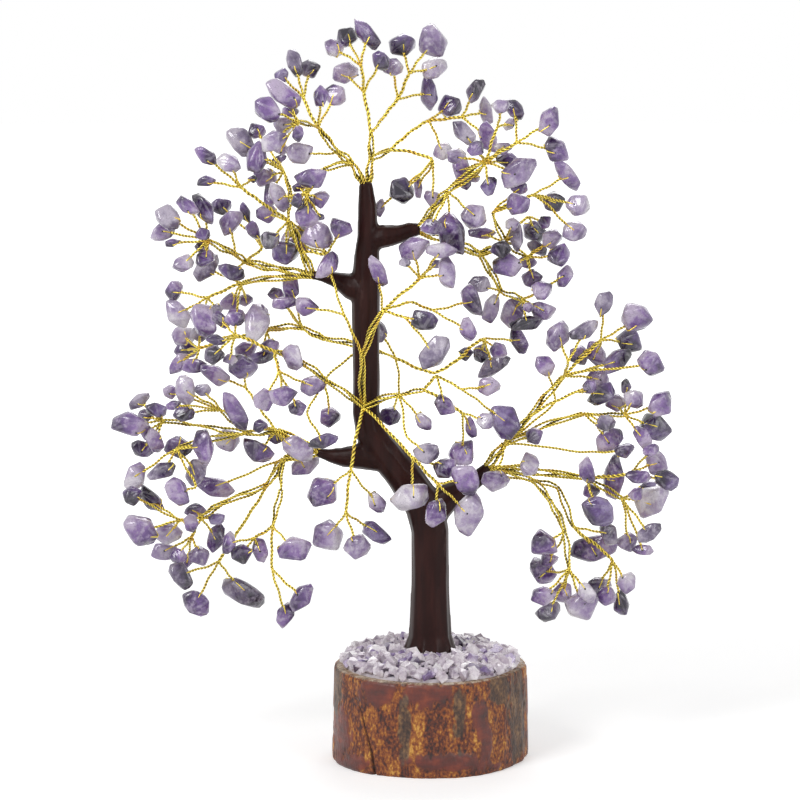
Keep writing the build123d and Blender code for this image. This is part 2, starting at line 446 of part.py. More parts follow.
def tidied(faces):
    """A cut body with corners that all but coincide made one, and its bent faces in triangles."""
    corners, tidy = [], []
    for loop in faces:
        names = []
        for point in loop:
            near = [n for n, corner in enumerate(corners) if np.linalg.norm(corner - point) < least_edge]
            if not near:
                corners.append(point)
            names.append(near[0] if near else len(corners) - 1)
        names = [n for k, n in enumerate(names) if n != names[k - 1]]
        if len(names) > 2:
            tidy.append([corners[n] for n in names])
    loops = []
    for loop in tidy:
        turns = [np.cross(loop[n] - loop[0], loop[n + 1] - loop[0]) for n in range(1, len(loop) - 1)]
        normal = unit(sum(turns))
        bend = max(abs(float(np.dot(point - loop[0], normal))) for point in loop)
        if bend > flat_limit:
            loops += [[loop[0], loop[n], loop[n + 1]] for n in range(1, len(loop) - 1)]
        else:
            loops.append(loop)
    return loops


def hull_faces(points):
    """Triangles of the convex hull of a few points, no four of them in one plane."""
    faces = []
    count = len(points)
    for i in range(count):
        for j in range(i + 1, count):
            for k in range(j + 1, count):
                normal = np.cross(points[j] - points[i], points[k] - points[i])
                others = [p for n, p in enumerate(points) if n not in (i, j, k)]
                sides = [float(np.dot(p - points[i], normal)) for p in others]
                if max(sides) < 0:
                    faces.append([points[i], points[j], points[k]])
                elif min(sides) > 0:
                    faces.append([points[i], points[k], points[j]])
    return faces


# The crown is fitted as bars with round ends: a run of wire is one, and a chip is a fat one

class Crowd:
    """Every bar placed so far, with its body, and the turned places of each at each swing."""

    swings_share = (0.0, -1.0, -0.5, 0.5, 1.0)
    pairs = ((0, 0), (1, 0), (2, 0), (3, 0), (4, 0), (0, 1), (0, 2), (0, 3), (0, 4), (1, 1), (4, 4))

    def __init__(self, roots):
        self.roots = roots
        self.starts, self.ends, self.radii, self.bodies, self.forks = [], [], [], [], []

    def turned(self, point, body):
        """A point of a body at each swing of its bough about the root."""
        if body not in self.roots:
            return [point] * len(self.swings_share)
        places = []
        for share in self.swings_share:
            angle = math.radians(share * swing_limit)
            arm = point - self.roots[body]
            turned = np.array([
                arm[0] * math.cos(angle) + arm[2] * math.sin(angle), arm[1],
                arm[2] * math.cos(angle) - arm[0] * math.sin(angle),
            ])
            places.append(self.roots[body] + turned)
        return places

    def add(self, start, end, radius, body, forks=()):
        self.starts.append(self.turned(start, body))
        self.ends.append(self.turned(end, body))
        self.radii.append(radius)
        self.bodies.append(body)
        self.forks.append(set(forks))
        self.arrays = (
            np.array(self.starts), np.array(self.ends), np.array(self.radii), np.array(self.bodies)
        )

    def room(self, start, end, radius, body, forks=()):
        """Least clearance of a new bar from the rest, at rest and while the boughs swing."""
        starts, ends, radii, bodies = self.arrays
        new_starts, new_ends = self.turned(start, body), self.turned(end, body)
        least = math.inf
        shared = np.array([bool(own & set(forks)) for own in self.forks])
        other_body = bodies != body
        for own, theirs in self.pairs:
            counted = ~shared & (other_body | (own == theirs == 0))
            if (own, theirs) == (0, 0):
                counted = ~shared
            elif not (other_body & ~shared).any():
                continue
            gaps = bar_distance(new_starts[own], new_ends[own], starts[:, theirs], ends[:, theirs])
            gaps = np.where(counted, gaps - radii - radius, math.inf)
            least = min(least, float(gaps.min()))
        return least


def bar_distance(p, q, starts, ends):
    """Distance from the line p-q to each of many lines, all of them with ends."""
    d1, d2, r = q - p, ends - starts, p - starts
    a = max(float(d1 @ d1), least_square)
    e = np.maximum((d2 * d2).sum(1), least_square)
    f = (d2 * r).sum(1)
    c = r @ d1
    b = d2 @ d1
    bottom = a * e - b * b
    crossing = bottom > parallel_limit
    s = np.where(crossing, np.clip((b * f - c * e) / np.where(crossing, bottom, 1.0), 0, 1), 0)
    t = np.clip((b * s + f) / e, 0, 1)
    s = np.clip((b * t - c) / a, 0, 1)
    return np.linalg.norm((p + s[:, None] * d1) - (starts + t[:, None] * d2), axis=1)


def run_radius(stones):
    """Radius of a twisted run that carries so many stones."""
    return twig_radius * max(stones, 1) ** bundle_growth


@dataclass
class Run:
    """A straight run of twisted wire between two forks, or from a fork to a chip."""

    start: np.ndarray
    end: np.ndarray
    radius: float
    forks: tuple
    stone: object = None


@dataclass
class Stone:
    """A tumbled chip: its middle, its three half axes and its tone."""

    middle: np.ndarray
    half_axes: tuple
    tone: str
    index: int

    def faces(self):
        """Corners round the chip, in turn before and behind its middle, closed as a hull."""
        long_axis, wide_axis, thin_axis = self.half_axes
        points = []
        for k in range(stone_corners):
            wobble = scatter(self.index * stone_corners + k)
            angle = 2 * math.pi * (k / stone_corners + stone_angle_wobble * wobble)
            reach = stone_reach_shares[0] + stone_reach_shares[1] * scatter(self.index * reach_stride + k)
            lift = stone_lift_shares[0] + stone_lift_shares[1] * scatter(self.index * lift_stride + k)
            lift = lift if k % 2 else -lift
            points.append(
                self.middle + reach * math.cos(angle) * long_axis + reach * math.sin(angle) * wide_axis
                + lift * thin_axis
            )
        return hull_faces(points)


def load_forks(bough):
    """How many chips hang beyond each fork."""
    bough.load = {"root": 0, **{row[0]: 0 for row in bough.forks_px}}
    parents = {row[0]: row[1] for row in bough.forks_px}
    for chip in bough.chips_px:
        name = chip[0]
        while name != "root":
            bough.load[name] += 1
            name = parents[name]
        bough.load["root"] += 1


def angle_clear(direction, others):
    """True when a run leaves its fork well apart from the runs that are there."""
    limit = math.cos(math.radians(fork_angle))
    return all(float(direction @ other) < limit for other in others)


def depths_near(first):
    """Depths to try, the nearest first, and the one behind before the one in front."""
    yield first
    for k in range(1, depth_tries):
        yield first + k * depth_step
        yield first - k * depth_step


def grow_forks(bough, crowd, fans):
    """Put the forks of a bough at the nearest free depth, and return the runs between them."""
    runs = []
    bough.places["root"] = on_sight_line(*bough.root_px, bough.root_depth)
    fans[bough.name, "root"] = []
    for name, parent, column, row, share in bough.forks_px:
        start, radius = bough.places[parent], run_radius(bough.load[name])
        best = (-math.inf, None)
        for depth in depths_near(share * crown_half_depth):
            end = on_sight_line(column, row, depth)
            if not angle_clear(unit(end - start), fans[bough.name, parent]):
                continue
            room = crowd.room(start, end, radius, bough.name, [(bough.name, parent)])
            if room > best[0]:
                best = (min(room, stone_gap), end)
            if room >= stone_gap:
                break
        if best[0] < stone_gap:
            print("tight fork", bough.name, name, round(best[0], 2))
        end = best[1]
        bough.places[name] = end
        fans[bough.name, parent].append(unit(end - start))
        fans[bough.name, name] = [unit(start - end)]
        forks = ((bough.name, parent), (bough.name, name))
        crowd.add(start, end, radius, bough.name, forks)
        runs.append(Run(start, end, radius, forks))
    return runs


def chip_at(middle, length, width, lean, index):
    """Half axes of a chip whose outline leans as the photograph shows, turned a little away."""
    lean, yaw = math.radians(lean), math.radians(tilt_limit * scatter(index, yaw_turn))
    long_axis = np.array([math.cos(lean) * math.cos(yaw), math.sin(yaw), math.sin(lean) * math.cos(yaw)])
    wide_axis = unit(np.cross(long_axis, np.array([0.0, 1.0, 0.0])))
    thin_axis = np.cross(long_axis, wide_axis)
    roll = math.radians(tilt_limit * scatter(index, roll_turn))
    wide_axis, thin_axis = (
        wide_axis * math.cos(roll) + thin_axis * math.sin(roll),
        thin_axis * math.cos(roll) - wide_axis * math.sin(roll),
    )
    return (
        long_axis * length / 2, wide_axis * width / 2, thin_axis * width * thin_share / 2,
    )


def hang_chips(bough, crowd, fans, first_index):
    """Hang each chip of a bough at the nearest free depth, and return the chips and their twigs."""
    stones, twigs = [], []
    for offset, (fork, column, row, length, width, lean, tone) in enumerate(bough.chips_px):
        index = first_index + offset
        start = bough.places[fork]
        length_mm, width_mm = length * photo_pitch * chip_growth, width * photo_pitch * chip_growth
        wanted = start[1] + stone_scatter * scatter(index, depth_turn)
        best = (-math.inf, None)
        for depth in depths_near(wanted):
            if abs(depth) > crown_half_depth:
                continue
            middle = on_sight_line(column, row, depth)
            axes = chip_at(middle, length_mm, width_mm, lean, index)
            radius = width_mm / 2
            reach = max(length_mm / 2 - radius, 0.0) * unit(axes[0])
            way = unit(middle - start)
            twig_end = middle - way * radius
            if np.linalg.norm(middle - start) < radius + least_twig + run_radius(bough.load[fork]):
                continue
            if not angle_clear(way, fans[bough.name, fork]):
                continue
            fork_key = (bough.name, fork)
            room = min(
                crowd.room(middle - reach, middle + reach, radius, bough.name),
                crowd.room(start, twig_end, twig_radius, bough.name, [fork_key]),
            )
            if room > best[0]:
                best = (min(room, stone_gap), (middle, axes, radius, reach, way, twig_end))
            if room >= stone_gap:
                break
        if best[0] < stone_gap:
            print("tight chip", bough.name, fork, column, row, round(best[0], 2))
        middle, axes, radius, reach, way, twig_end = best[1]
        fans[bough.name, fork].append(way)
        crowd.add(middle - reach, middle + reach, radius, bough.name)
        crowd.add(start, twig_end, twig_radius, bough.name, [(bough.name, fork)])
        stone = Stone(middle, axes, TONES[tone], index)
        stones.append(stone)
        twigs.append(Run(start, middle, twig_radius, ((bough.name, fork),), stone))
    return stones, twigs


def mitred(run, runs_at, sides):
    """Faces of a run, cut half way to each other run at its forks, and at its chip's face."""
    way = unit(run.end - run.start)
    faces = prism_faces(run.start - run.radius * way, run.end + run.radius * way, run.radius, sides)
    for fork in run.forks:
        for other in runs_at[fork]:
            if other is run:
                continue
            meet, own_way, other_way = meeting(run, other, fork)
            faces = clipped(faces, meet, unit(own_way - other_way))
    if run.stone is not None:
        origin, normal = entry_face(run)
        faces = clipped(faces, origin, normal)
    return faces


def meeting(run, other, fork):
    """The place of a shared fork, and the ways that two runs leave it."""
    meet = run.start if fork == run.forks[0] else run.end
    own_way = unit(run.end - run.start) * (1 if fork == run.forks[0] else -1)
    other_way = unit(other.end - other.start) * (1 if fork == other.forks[0] else -1)
    return meet, own_way, other_way


def entry_face(run):
    """The face of its chip that a twig meets first: a point of it and its outward normal."""
    way = unit(run.end - run.start)
    nearest = (-math.inf, None)
    for loop in run.stone.faces():
        normal = unit(np.cross(loop[1] - loop[0], loop[2] - loop[0]))
        slope = float(way @ normal)
        if slope < 0:
            reach = float((loop[0] - run.start) @ normal) / slope
            if reach > nearest[0]:
                nearest = (reach, (loop[0], normal))
    return nearest[1]


# Trunk: one moulding with a flared foot, a leaning shaft and four short limbs

def ring_points(centre, way, radius, sides):
    """A regular ring about a path that lies in the plane of the trunk."""
    flank, depth_way = np.array([way[2], 0.0, -way[0]]), np.array([0.0, 1.0, 0.0])
    angles = [2 * math.pi * k / sides for k in range(sides)]
    return [centre + radius * (math.cos(a) * flank + math.sin(a) * depth_way) for a in angles]


def tapered_bar(centres, radii, sides):
    """A solid through rings of their own radius, closed by a flat face at both ends."""
    rings = []
    for k, (centre, radius) in enumerate(zip(centres, radii)):
        way = unit(centres[min(k + 1, len(centres) - 1)] - centres[max(k - 1, 0)])
        rings.append(ring_points(centre, way, radius, sides))
    faces = [rings[0], rings[-1][::-1]]
    for low, high in zip(rings, rings[1:]):
        for k in range(sides):
            after = (k + 1) % sides
            faces.append([low[k], high[k], high[after]])
            faces.append([low[k], high[after], low[after]])
    return solid_of(faces)


def trunk_path():
    """Middles and radii of the trunk's rings, from the foot on the slice to the tip."""
    centres = [on_sight_line(column, row) for column, row, _ in trunk_px]
    centres.insert(0, np.array([centres[0][0], 0.0, slice_height]))
    radii = [foot_flare_px * photo_pitch] + [half * photo_pitch for _, _, half in trunk_px]
    return centres, radii


def limb_path(name):
    rows = limbs_px[name]
    return [on_sight_line(c, r) for c, r, _ in rows], [half * photo_pitch for _, _, half in rows]


def straight_bar(start, end, radius, sides, overrun=0.0):
    way = unit(end - start)
    return solid_of(prism_faces(start - overrun * way, end + overrun * way, radius, sides))


def trunk_core():
    """The wire bundle inside the trunk, from its peg to the tip, with an arm into each limb."""
    low = np.array([0.0, 0.0, slice_height - peg_length + core_tip_wall])
    line = [low] + [on_sight_line(column, row) for column, row in core_px]
    core = None
    for start, end in zip(line, line[1:]):
        bar = straight_bar(start, end, core_radius, core_sides)
        core = bar if core is None else core + bar
    for start_px, end_px in core_arms_px:
        core += straight_bar(on_sight_line(*start_px), on_sight_line(*end_px), core_branch_radius, core_sides)
    return core


def moulded_trunk(core):
    """The trunk with its limbs and peg in one piece, moulded round the wire bundle."""
    centres, radii = trunk_path()
    trunk = tapered_bar(centres, radii, trunk_sides)
    for name in limbs_px:
        trunk += tapered_bar(*limb_path(name), limb_sides)
    peg_middle = slice_height - peg_length / 2
    peg = Pos(0, 0, peg_middle) * Cylinder(peg_radius, peg_length)
    return trunk + peg - core


# The slice of branch wood, the glue and the gravel

def bark_line(radius, height):
    """The uneven outline of the bark at a height."""
    points = []
    for k in range(slice_sides):
        angle = 2 * math.pi * k / slice_sides
        waves = sum(share * math.sin(count * angle + turn) for share, count, turn in bark_waves)
        reach = radius + slice_swell * (waves + bark_scatter_share * scatter(k))
        points.append(np.array([reach * math.cos(angle), reach * math.sin(angle), height]))
    return points


def ring_stack(rings):
    """A solid through flat rings with the same number of corners."""
    faces = [rings[0][::-1], rings[-1]]
    for low, high in zip(rings, rings[1:]):
        for k in range(len(low)):
            after = (k + 1) % len(low)
            faces.append([low[k], high[after], high[k]])
            faces.append([low[k], low[after], high[after]])
    return solid_of(faces)


def wood_slice():
    """A thick round of branch wood with rounded bark edges and a hole for the trunk's peg."""
    rings = [
        bark_line(slice_radius - slice_edge, 0.0), bark_line(slice_radius, slice_edge),
        bark_line(slice_radius - slice_taper / 2, slice_height / 2),
        bark_line(slice_radius - slice_taper, slice_height - slice_edge),
        bark_line(slice_radius - slice_taper - slice_edge, slice_height),
    ]
    socket = Pos(0, 0, slice_height - socket_depth / 2) * Cylinder(peg_radius + peg_play, socket_depth)
    return ring_stack(rings) - socket


def glue_bed():
    """The clear glue that holds the gravel, a flat ring about the trunk's foot."""
    low, high = np.array([0.0, 0.0, slice_height]), np.array([0.0, 0.0, slice_height + glue_thickness])
    disc = solid_of(prism_faces(low, high, glue_radius, glue_sides))
    hole = (foot_flare_px * photo_pitch + foot_play) / math.cos(math.pi / glue_sides)
    return disc - solid_of(prism_faces(low, high, hole, glue_sides))


def gravel_chip(x, y, index, height):
    """A small chip with a flat underside, seated on the glue."""
    bottom = slice_height + glue_thickness
    radius = chip_radius * (chip_radius_shares[0] + chip_radius_shares[1] * scatter(index))
    turn = math.pi * scatter(index, gravel_turn)
    low, high = [], []
    for k in range(gravel_sides):
        wobble = chip_corner_wobble * scatter(index * gravel_sides + k)
        angle = turn + 2 * math.pi * k / gravel_sides + wobble
        corner = np.array([radius * math.cos(angle), radius * math.sin(angle), 0.0])
        low.append(np.array([x, y, bottom]) + corner)
        high.append(np.array([x, y, bottom + height]) + gravel_top_share * corner)
    after = [(k + 1) % gravel_sides for k in range(gravel_sides)]
    walls = [[low[k], low[after[k]], high[after[k]], high[k]] for k in range(gravel_sides)]
    return solid_of([low[::-1], high] + walls)


def gravel():
    """Chips in rows about the trunk's foot, heaped towards it, as (tone, solid) pairs."""
    chips = []
    inner = foot_flare_px * photo_pitch + foot_play + chip_radius
    outer = glue_radius - chip_radius
    rows = int(outer / (chip_pitch * row_step_share)) + 1
    for row in range(-rows, rows + 1):
        for column in range(-rows, rows + 1):
            x = (column + 0.5 * (row % 2)) * chip_pitch
            y = row * chip_pitch * row_step_share
            away = math.hypot(x, y)
            if not inner < away < outer:
                continue
            index = gravel_row_stride * (row + rows) + column + rows
            uneven = gravel_height_shares[0] + gravel_height_shares[1] * scatter(index, gravel_height_turn)
            height = chip_height * uneven + heap_height * (1 - away / outer)
            mood = scatter(index, gravel_tone_turn)
            low, high = gravel_tone_limits
            tone = "dark" if mood < low else "violet" if mood > high else "pale"
            chips.append((tone, gravel_chip(x, y, index, height)))
    return chips


def save(name, solids):
    export_step(solids[0] if len(solids) == 1 else Compound(children=solids), f"parts/{name}.step")


def main():
    os.makedirs("parts", exist_ok=True)
    roots = {bough.name: on_sight_line(*bough.root_px, bough.root_depth) for bough in BOUGHS}
    crowd = Crowd(roots)
    centres, radii = trunk_path()
    every_root = [(bough.name, "root") for bough in BOUGHS if bough.limb]
    spray_roots = [(bough.name, "root") for bough in BOUGHS if not bough.limb]
    for k in range(len(centres) - 1):
        tip = every_root if k + tip_sections + 1 >= len(centres) else []
        beside = [key for key in spray_roots if seats_on(centres[k : k + 2], roots[key[0]], radii[k])]
        crowd.add(centres[k], centres[k + 1], max(radii[k], radii[k + 1]), "root", tip + beside)
    for name in limbs_px:
        centres, radii = limb_path(name)
        for k in range(len(centres) - 1):
            tip = every_root if k + tip_sections + 1 >= len(centres) else ()
            crowd.add(centres[k], centres[k + 1], max(radii[k], radii[k + 1]), "root", tip)

    fans, wires, index = {}, {}, 0
    for bough in BOUGHS:
        load_forks(bough)
        wires[bough.name] = grow_forks(bough, crowd, fans)
    for bough in BOUGHS:
        stones, twigs = hang_chips(bough, crowd, fans, index)
        index += len(stones)
        runs_at = {}
        for run in wires[bough.name] + twigs:
            for fork in run.forks:
                runs_at.setdefault(fork, []).append(run)
        save(f"{bough.name}_stems", [bough_run(run, runs_at, stem_sides, bough) for run in wires[bough.name]])
        save(f"{bough.name}_twigs", [bough_run(run, runs_at, twig_sides, bough) for run in twigs])
        for tone in ("deep", "violet", "pale", "smoky"):
            save(f"{bough.name}_gems_{tone}", [solid_of(s.faces()) for s in stones if s.tone == tone])

    core = trunk_core()
    save("trunk_core", [core])
    save("trunk", [moulded_trunk(core)])
    save("wood_slice", [wood_slice()])
    save("glue_bed", [glue_bed()])
    chips = gravel()
    for tone in ("pale", "violet", "dark"):
        save(f"gravel_{tone}", [solid for own, solid in chips if own == tone])
    print("stones", index, "gravel", len(chips))


def seats_on(section, root, radius):
    """True when a spray's root lies beside a section of the shaft, or within a radius past its ends."""
    return section[0][2] - radius < root[2] < section[1][2] + radius


def bough_run(run, runs_at, sides, bough):
    """A run as a solid; where it leaves the trunk, it stops short of the face that it is seated on."""
    faces = mitred(run, runs_at, sides)
    if run.forks[0] == (bough.name, "root") and bough.limb:
        centres = (trunk_path() if bough.limb == "tip" else limb_path(bough.limb))[0]
        axis = unit(centres[-1] - centres[-2])
        faces = clipped(faces, centres[-1] + root_gap * axis, axis)
    elif run.forks[0] == (bough.name, "root"):
        outward = np.array([0.0, math.copysign(1.0, bough.root_depth), 0.0])
        faces = clipped(faces, np.array([0.0, bough.root_depth, 0.0]), outward)
    return solid_of(tidied(faces))


main()
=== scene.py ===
"""Looks of a gemstone tree: amethyst chips on twisted brass wire, a dark moulded trunk and a slice of wood.

Sizes are in millimetres until a mesh is made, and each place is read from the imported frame.
"""

import json
import logging
import math
from collections.abc import Callable
from dataclasses import dataclass, field
from enum import Enum

import bpy
import numpy as np
from numpy.typing import NDArray
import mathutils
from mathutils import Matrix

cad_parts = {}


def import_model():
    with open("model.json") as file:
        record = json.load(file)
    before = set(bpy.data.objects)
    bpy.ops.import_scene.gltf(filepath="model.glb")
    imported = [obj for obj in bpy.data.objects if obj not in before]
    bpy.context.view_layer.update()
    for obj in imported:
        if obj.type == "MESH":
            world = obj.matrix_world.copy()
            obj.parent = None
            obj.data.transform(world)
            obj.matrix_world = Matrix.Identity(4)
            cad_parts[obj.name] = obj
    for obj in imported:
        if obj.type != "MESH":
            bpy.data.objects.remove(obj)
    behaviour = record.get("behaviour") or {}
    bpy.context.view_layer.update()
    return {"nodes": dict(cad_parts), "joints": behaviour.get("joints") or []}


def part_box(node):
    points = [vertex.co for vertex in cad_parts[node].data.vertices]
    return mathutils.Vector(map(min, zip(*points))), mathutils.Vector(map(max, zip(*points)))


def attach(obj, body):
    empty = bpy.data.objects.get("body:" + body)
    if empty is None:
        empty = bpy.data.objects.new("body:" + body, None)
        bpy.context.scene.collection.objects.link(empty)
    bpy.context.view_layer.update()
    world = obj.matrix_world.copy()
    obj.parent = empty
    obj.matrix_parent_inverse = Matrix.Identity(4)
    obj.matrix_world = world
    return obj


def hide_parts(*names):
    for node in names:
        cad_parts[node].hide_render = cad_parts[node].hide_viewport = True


MM = 0.001
TINY = 1e-12
WHOLE_TURN = 2 * math.pi
Points = NDArray[np.float64]
Faces = NDArray[np.int64]
Span = tuple[float, float]
Vector = tuple[float, float, float]
Colour = tuple[float, float, float, float]
Stops = list[tuple[float, Colour]]
Shades = tuple[tuple[float, str], ...]
Material = bpy.types.Material
Object = bpy.types.Object
Random = np.random.Generator
log = logging.getLogger("gem_tree")


def hue(code: str) -> Colour:
    """A colour for the shaders from its six-digit screen code: each part is put through the sRGB curve.

    Args:
        code: The screen colour, such as "7c5fa6".

    Returns:
        Its red, green and blue as light, and an alpha of one.
    """
    parts = [int(code[i : i + 2], 16) / 255 for i in (0, 2, 4)]
    red, green, blue = (p / 12.92 if p <= 0.04045 else ((p + 0.055) / 1.055) ** 2.4 for p in parts)
    return (red, green, blue, 1.0)


def unit(vectors: Points) -> Points:
    """The vectors divided by their lengths."""
    return vectors / np.maximum(np.linalg.norm(vectors, axis=-1, keepdims=True), TINY)


def eased(low: float, high: float, values: Points) -> Points:
    """A rise from 0 at low to 1 at high, with a flat start and end: 3 t squared less 2 t cubed."""
    share = np.clip((values - low) / (high - low), 0, 1)
    return share * share * (3 - 2 * share)


@dataclass(frozen=True)
class Cloud:
    """Smooth noise from 0 to 1, by the size of its cells along x, y and z and a seed."""

    cell: Vector
    seed: int

    def at(self, points: Points) -> Points:
        """The noise at each place: the fixed random values of its cell's corners, eased together.

        Args:
            points: The places, with x, y and z last.

        Returns:
            A value for each place.
        """
        slant, seed_step, steepness = np.array([127.1, 311.7, 74.7]), 19.19, 43758.5453
        scaled = points / np.array(self.cell)
        base = np.floor(scaled)
        share = eased(0, 1, scaled - base)
        total = np.zeros(points.shape[:-1])
        for corner in np.ndindex(2, 2, 2):
            weight = np.prod(np.where(np.array(corner), share, 1 - share), axis=-1)
            wave = np.sin((base + corner) @ slant + self.seed * seed_step) * steepness
            total = total + weight * (wave - np.floor(wave))
        return total


def placed(name: str, data: bpy.types.ID) -> Object:
    """Puts a new object in the scene, at the origin.

    Args:
        name: Its name.
        data: The mesh, lens or light that it shows.

    Returns:
        The object.
    """
    made = bpy.data.objects.new(name, data)
    bpy.context.scene.collection.objects.link(made)
    return made


def values_of(items: bpy.types.bpy_prop_collection, name: str, width: int, kind: type = float) -> NDArray:
    """What the parts of a mesh hold under a name.

    Args:
        items: The parts, such as its vertices.
        name: What is read.
        width: How many numbers each part holds.
        kind: The type of the numbers.

    Returns:
        A row for each part.
    """
    values = np.zeros(len(items) * width, kind)
    items.foreach_get(name, values)
    return values.reshape(-1, width)


@dataclass
class Gathered:
    """Points, faces and point values of many shapes, gathered for one mesh."""

    points: list[Points] = field(default_factory=list)
    faces: dict[int, list[Faces]] = field(default_factory=dict)
    values: dict[str, list[Points]] = field(default_factory=dict)
    count: int = 0

    def add(self, points: Points, faces: list[Faces], **values: Points | float) -> None:
        """Adds one closed shape.

        Args:
            points: Its points.
            faces: Its faces, one array for each number of corners.
            values: Named values, one for each point or one for all.
        """
        self.points.append(points)
        for group in faces:
            self.faces.setdefault(group.shape[1], []).append(group + self.count)
        for name, value in values.items():
            self.values.setdefault(name, []).append(np.broadcast_to(value, len(points)).astype(float))
        self.count += len(points)

    def piece(self, name: str, material: Material, body: str, smooth: bool = True) -> Object:
        """Makes the gathered shapes one mesh that rides on a body.

        Args:
            name: The piece's name.
            material: Its finish.
            body: The frame body that carries it.
            smooth: Whether its faces shade as one surface.

        Returns:
            The new object, at the origin.
        """
        faces = [np.concatenate(group) for group in self.faces.values()]
        totals = np.concatenate([np.full(len(group), group.shape[1]) for group in faces])
        corners = np.concatenate([group.ravel() for group in faces])
        mesh = bpy.data.meshes.new(name)
        mesh.vertices.add(self.count)
        mesh.vertices.foreach_set("co", (np.concatenate(self.points) * MM).ravel())
        mesh.loops.add(len(corners))
        mesh.loops.foreach_set("vertex_index", corners.astype(np.int32))
        mesh.polygons.add(len(totals))
        mesh.polygons.foreach_set("loop_start", (np.cumsum(totals) - totals).astype(np.int32))
        mesh.polygons.foreach_set("use_smooth", np.full(len(totals), smooth))
        for title, value in self.values.items():
            layer = mesh.attributes.new(title, "FLOAT", "POINT")
            layer.data.foreach_set("value", np.concatenate(value).astype(np.float32))
        mesh.update(calc_edges=True)
        mesh.validate()
        mesh.materials.append(material)
        made = placed(name, mesh)
        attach(made, body)
        log.info("%s: %d faces", name, len(totals))
        return made


def node_triangles(node: Object) -> Points:
    """The triangles of a frame node.

    Args:
        node: The frame's mesh object.

    Returns:
        For each triangle, its three corners in millimetres.
    """
    mesh = node.data
    mesh.calc_loop_triangles()
    places = values_of(mesh.vertices, "co", 3) / MM
    return places[values_of(mesh.loop_triangles, "vertices", 3, np.int32)]


def node_solids(node: Object) -> list[Points]:
    """The solids of a frame node, each as its triangles.

    A solid's triangles follow each other, and each of its edges is met twice. So a solid ends where no edge
    still waits for its second triangle.

    Args:
        node: The frame's mesh object.

    Returns:
        For each solid, its triangles' corners in millimetres.
    """
    triangles = node_triangles(node)
    finest = 0.002
    keys = np.round(triangles.reshape(-1, 3) / finest).astype(np.int64)
    corner = np.unique(keys, axis=0, return_inverse=True)[1].reshape(-1, 3)
    edges = np.sort(np.stack([corner, np.roll(corner, -1, axis=1)], axis=-1).reshape(-1, 2), axis=1)
    owner = np.repeat(np.arange(len(triangles)), 3)
    order = np.lexsort((owner, edges[:, 1], edges[:, 0]))
    waiting = np.zeros(len(triangles) + 1, int)
    np.add.at(waiting, owner[order[0::2]], 1)
    np.add.at(waiting, owner[order[1::2]], -1)
    ends = np.flatnonzero(np.cumsum(waiting)[:-1] == 0) + 1
    return [group for group in np.split(triangles, ends) if len(group)]


def merged(triangles: Points, digits: int = 2) -> tuple[Points, Faces]:
    """Merges the corners that triangles share.

    Args:
        triangles: The triangles, as their corners.
        digits: The decimals of a millimetre that tell two corners apart.

    Returns:
        The different corners, and each triangle as three of their numbers.
    """
    places = triangles.reshape(-1, 3)
    _, first, names = np.unique(np.round(places, digits), axis=0, return_index=True, return_inverse=True)
    return places[first], names.reshape(-1, 3)


def ring_walls(rings: int, sides: int) -> Faces:
    """The walls between closed rings of points: two neighbours on a ring and the two beside them on the next.

    Args:
        rings: How many rings there are.
        sides: The points of a ring.

    Returns:
        The four point numbers of each wall.
    """
    first = np.arange(rings - 1)[:, None] * sides
    onward = first + sides
    here = np.arange(sides)[None]
    after = (here + 1) % sides
    return np.stack([first + here, onward + here, onward + after, first + after], axis=-1).reshape(-1, 4)


def tube(line: Points, radius: float, sides: int, up: Points) -> tuple[Points, list[Faces]]:
    """A closed tube: at each point of a line, a ring of cos a times one cross way and sin a times the other.

    Args:
        line: The points of its centre line.
        radius: The radius of its rings.
        sides: The points of a ring.
        up: A way that the line nowhere follows.

    Returns:
        Its points, ring after ring, and its faces, with a flat cap at each end.
    """
    along = unit(np.gradient(line, axis=0))
    side = unit(np.cross(along, up))
    rise = np.cross(side, along)
    angle = np.arange(sides)[:, None] * WHOLE_TURN / sides
    rings = line[:, None] + radius * (np.cos(angle) * side[:, None] + np.sin(angle) * rise[:, None])
    last = (len(line) - 1) * sides
    caps = np.stack([np.arange(sides), last + np.arange(sides)[::-1]])
    return rings.reshape(-1, 3), [ring_walls(len(line), sides), caps]


def operator(operation: str, reflected: bool = False) -> Callable[..., "Link"]:
    """Makes a method of Link that puts one Math node on two values.

    Args:
        operation: What the node works out.
        reflected: Whether the other value comes first, as in 1 - mask.

    Returns:
        The method.
    """

    def method(self: "Link", other: "Link | float" = 0.0) -> "Link":
        """This value and another through the node."""
        values = (other, self) if reflected else (self, other)
        made = self.paint.node("ShaderNodeMath", {"operation": operation}, dict(enumerate(values)))
        return Link(self.paint, made.outputs[0])

    return method


class Link:
    """A socket of a material's nodes, with its maths written as Python operators."""

    __add__ = __radd__ = operator("ADD")
    __sub__ = operator("SUBTRACT")
    __rsub__ = operator("SUBTRACT", reflected=True)
    __mul__ = __rmul__ = operator("MULTIPLY")
    __abs__ = operator("ABSOLUTE")
    at_most = operator("MINIMUM")

    def __init__(self, paint: "Paint", socket: bpy.types.NodeSocket) -> None:
        """Wraps a socket of the paint's nodes."""
        self.paint = paint
        self.socket = socket

    def rise(self, low: float, high: float) -> "Link":
        """A smooth rise from 0 to 1.

        Args:
            low: The value up to which it is 0.
            high: The value from which it is 1.

        Returns:
            The risen value.
        """
        sockets = {"Value": self, "From Min": low, "From Max": high}
        made = self.paint.node("ShaderNodeMapRange", {"interpolation_type": "SMOOTHSTEP"}, sockets)
        return Link(self.paint, made.outputs["Result"])


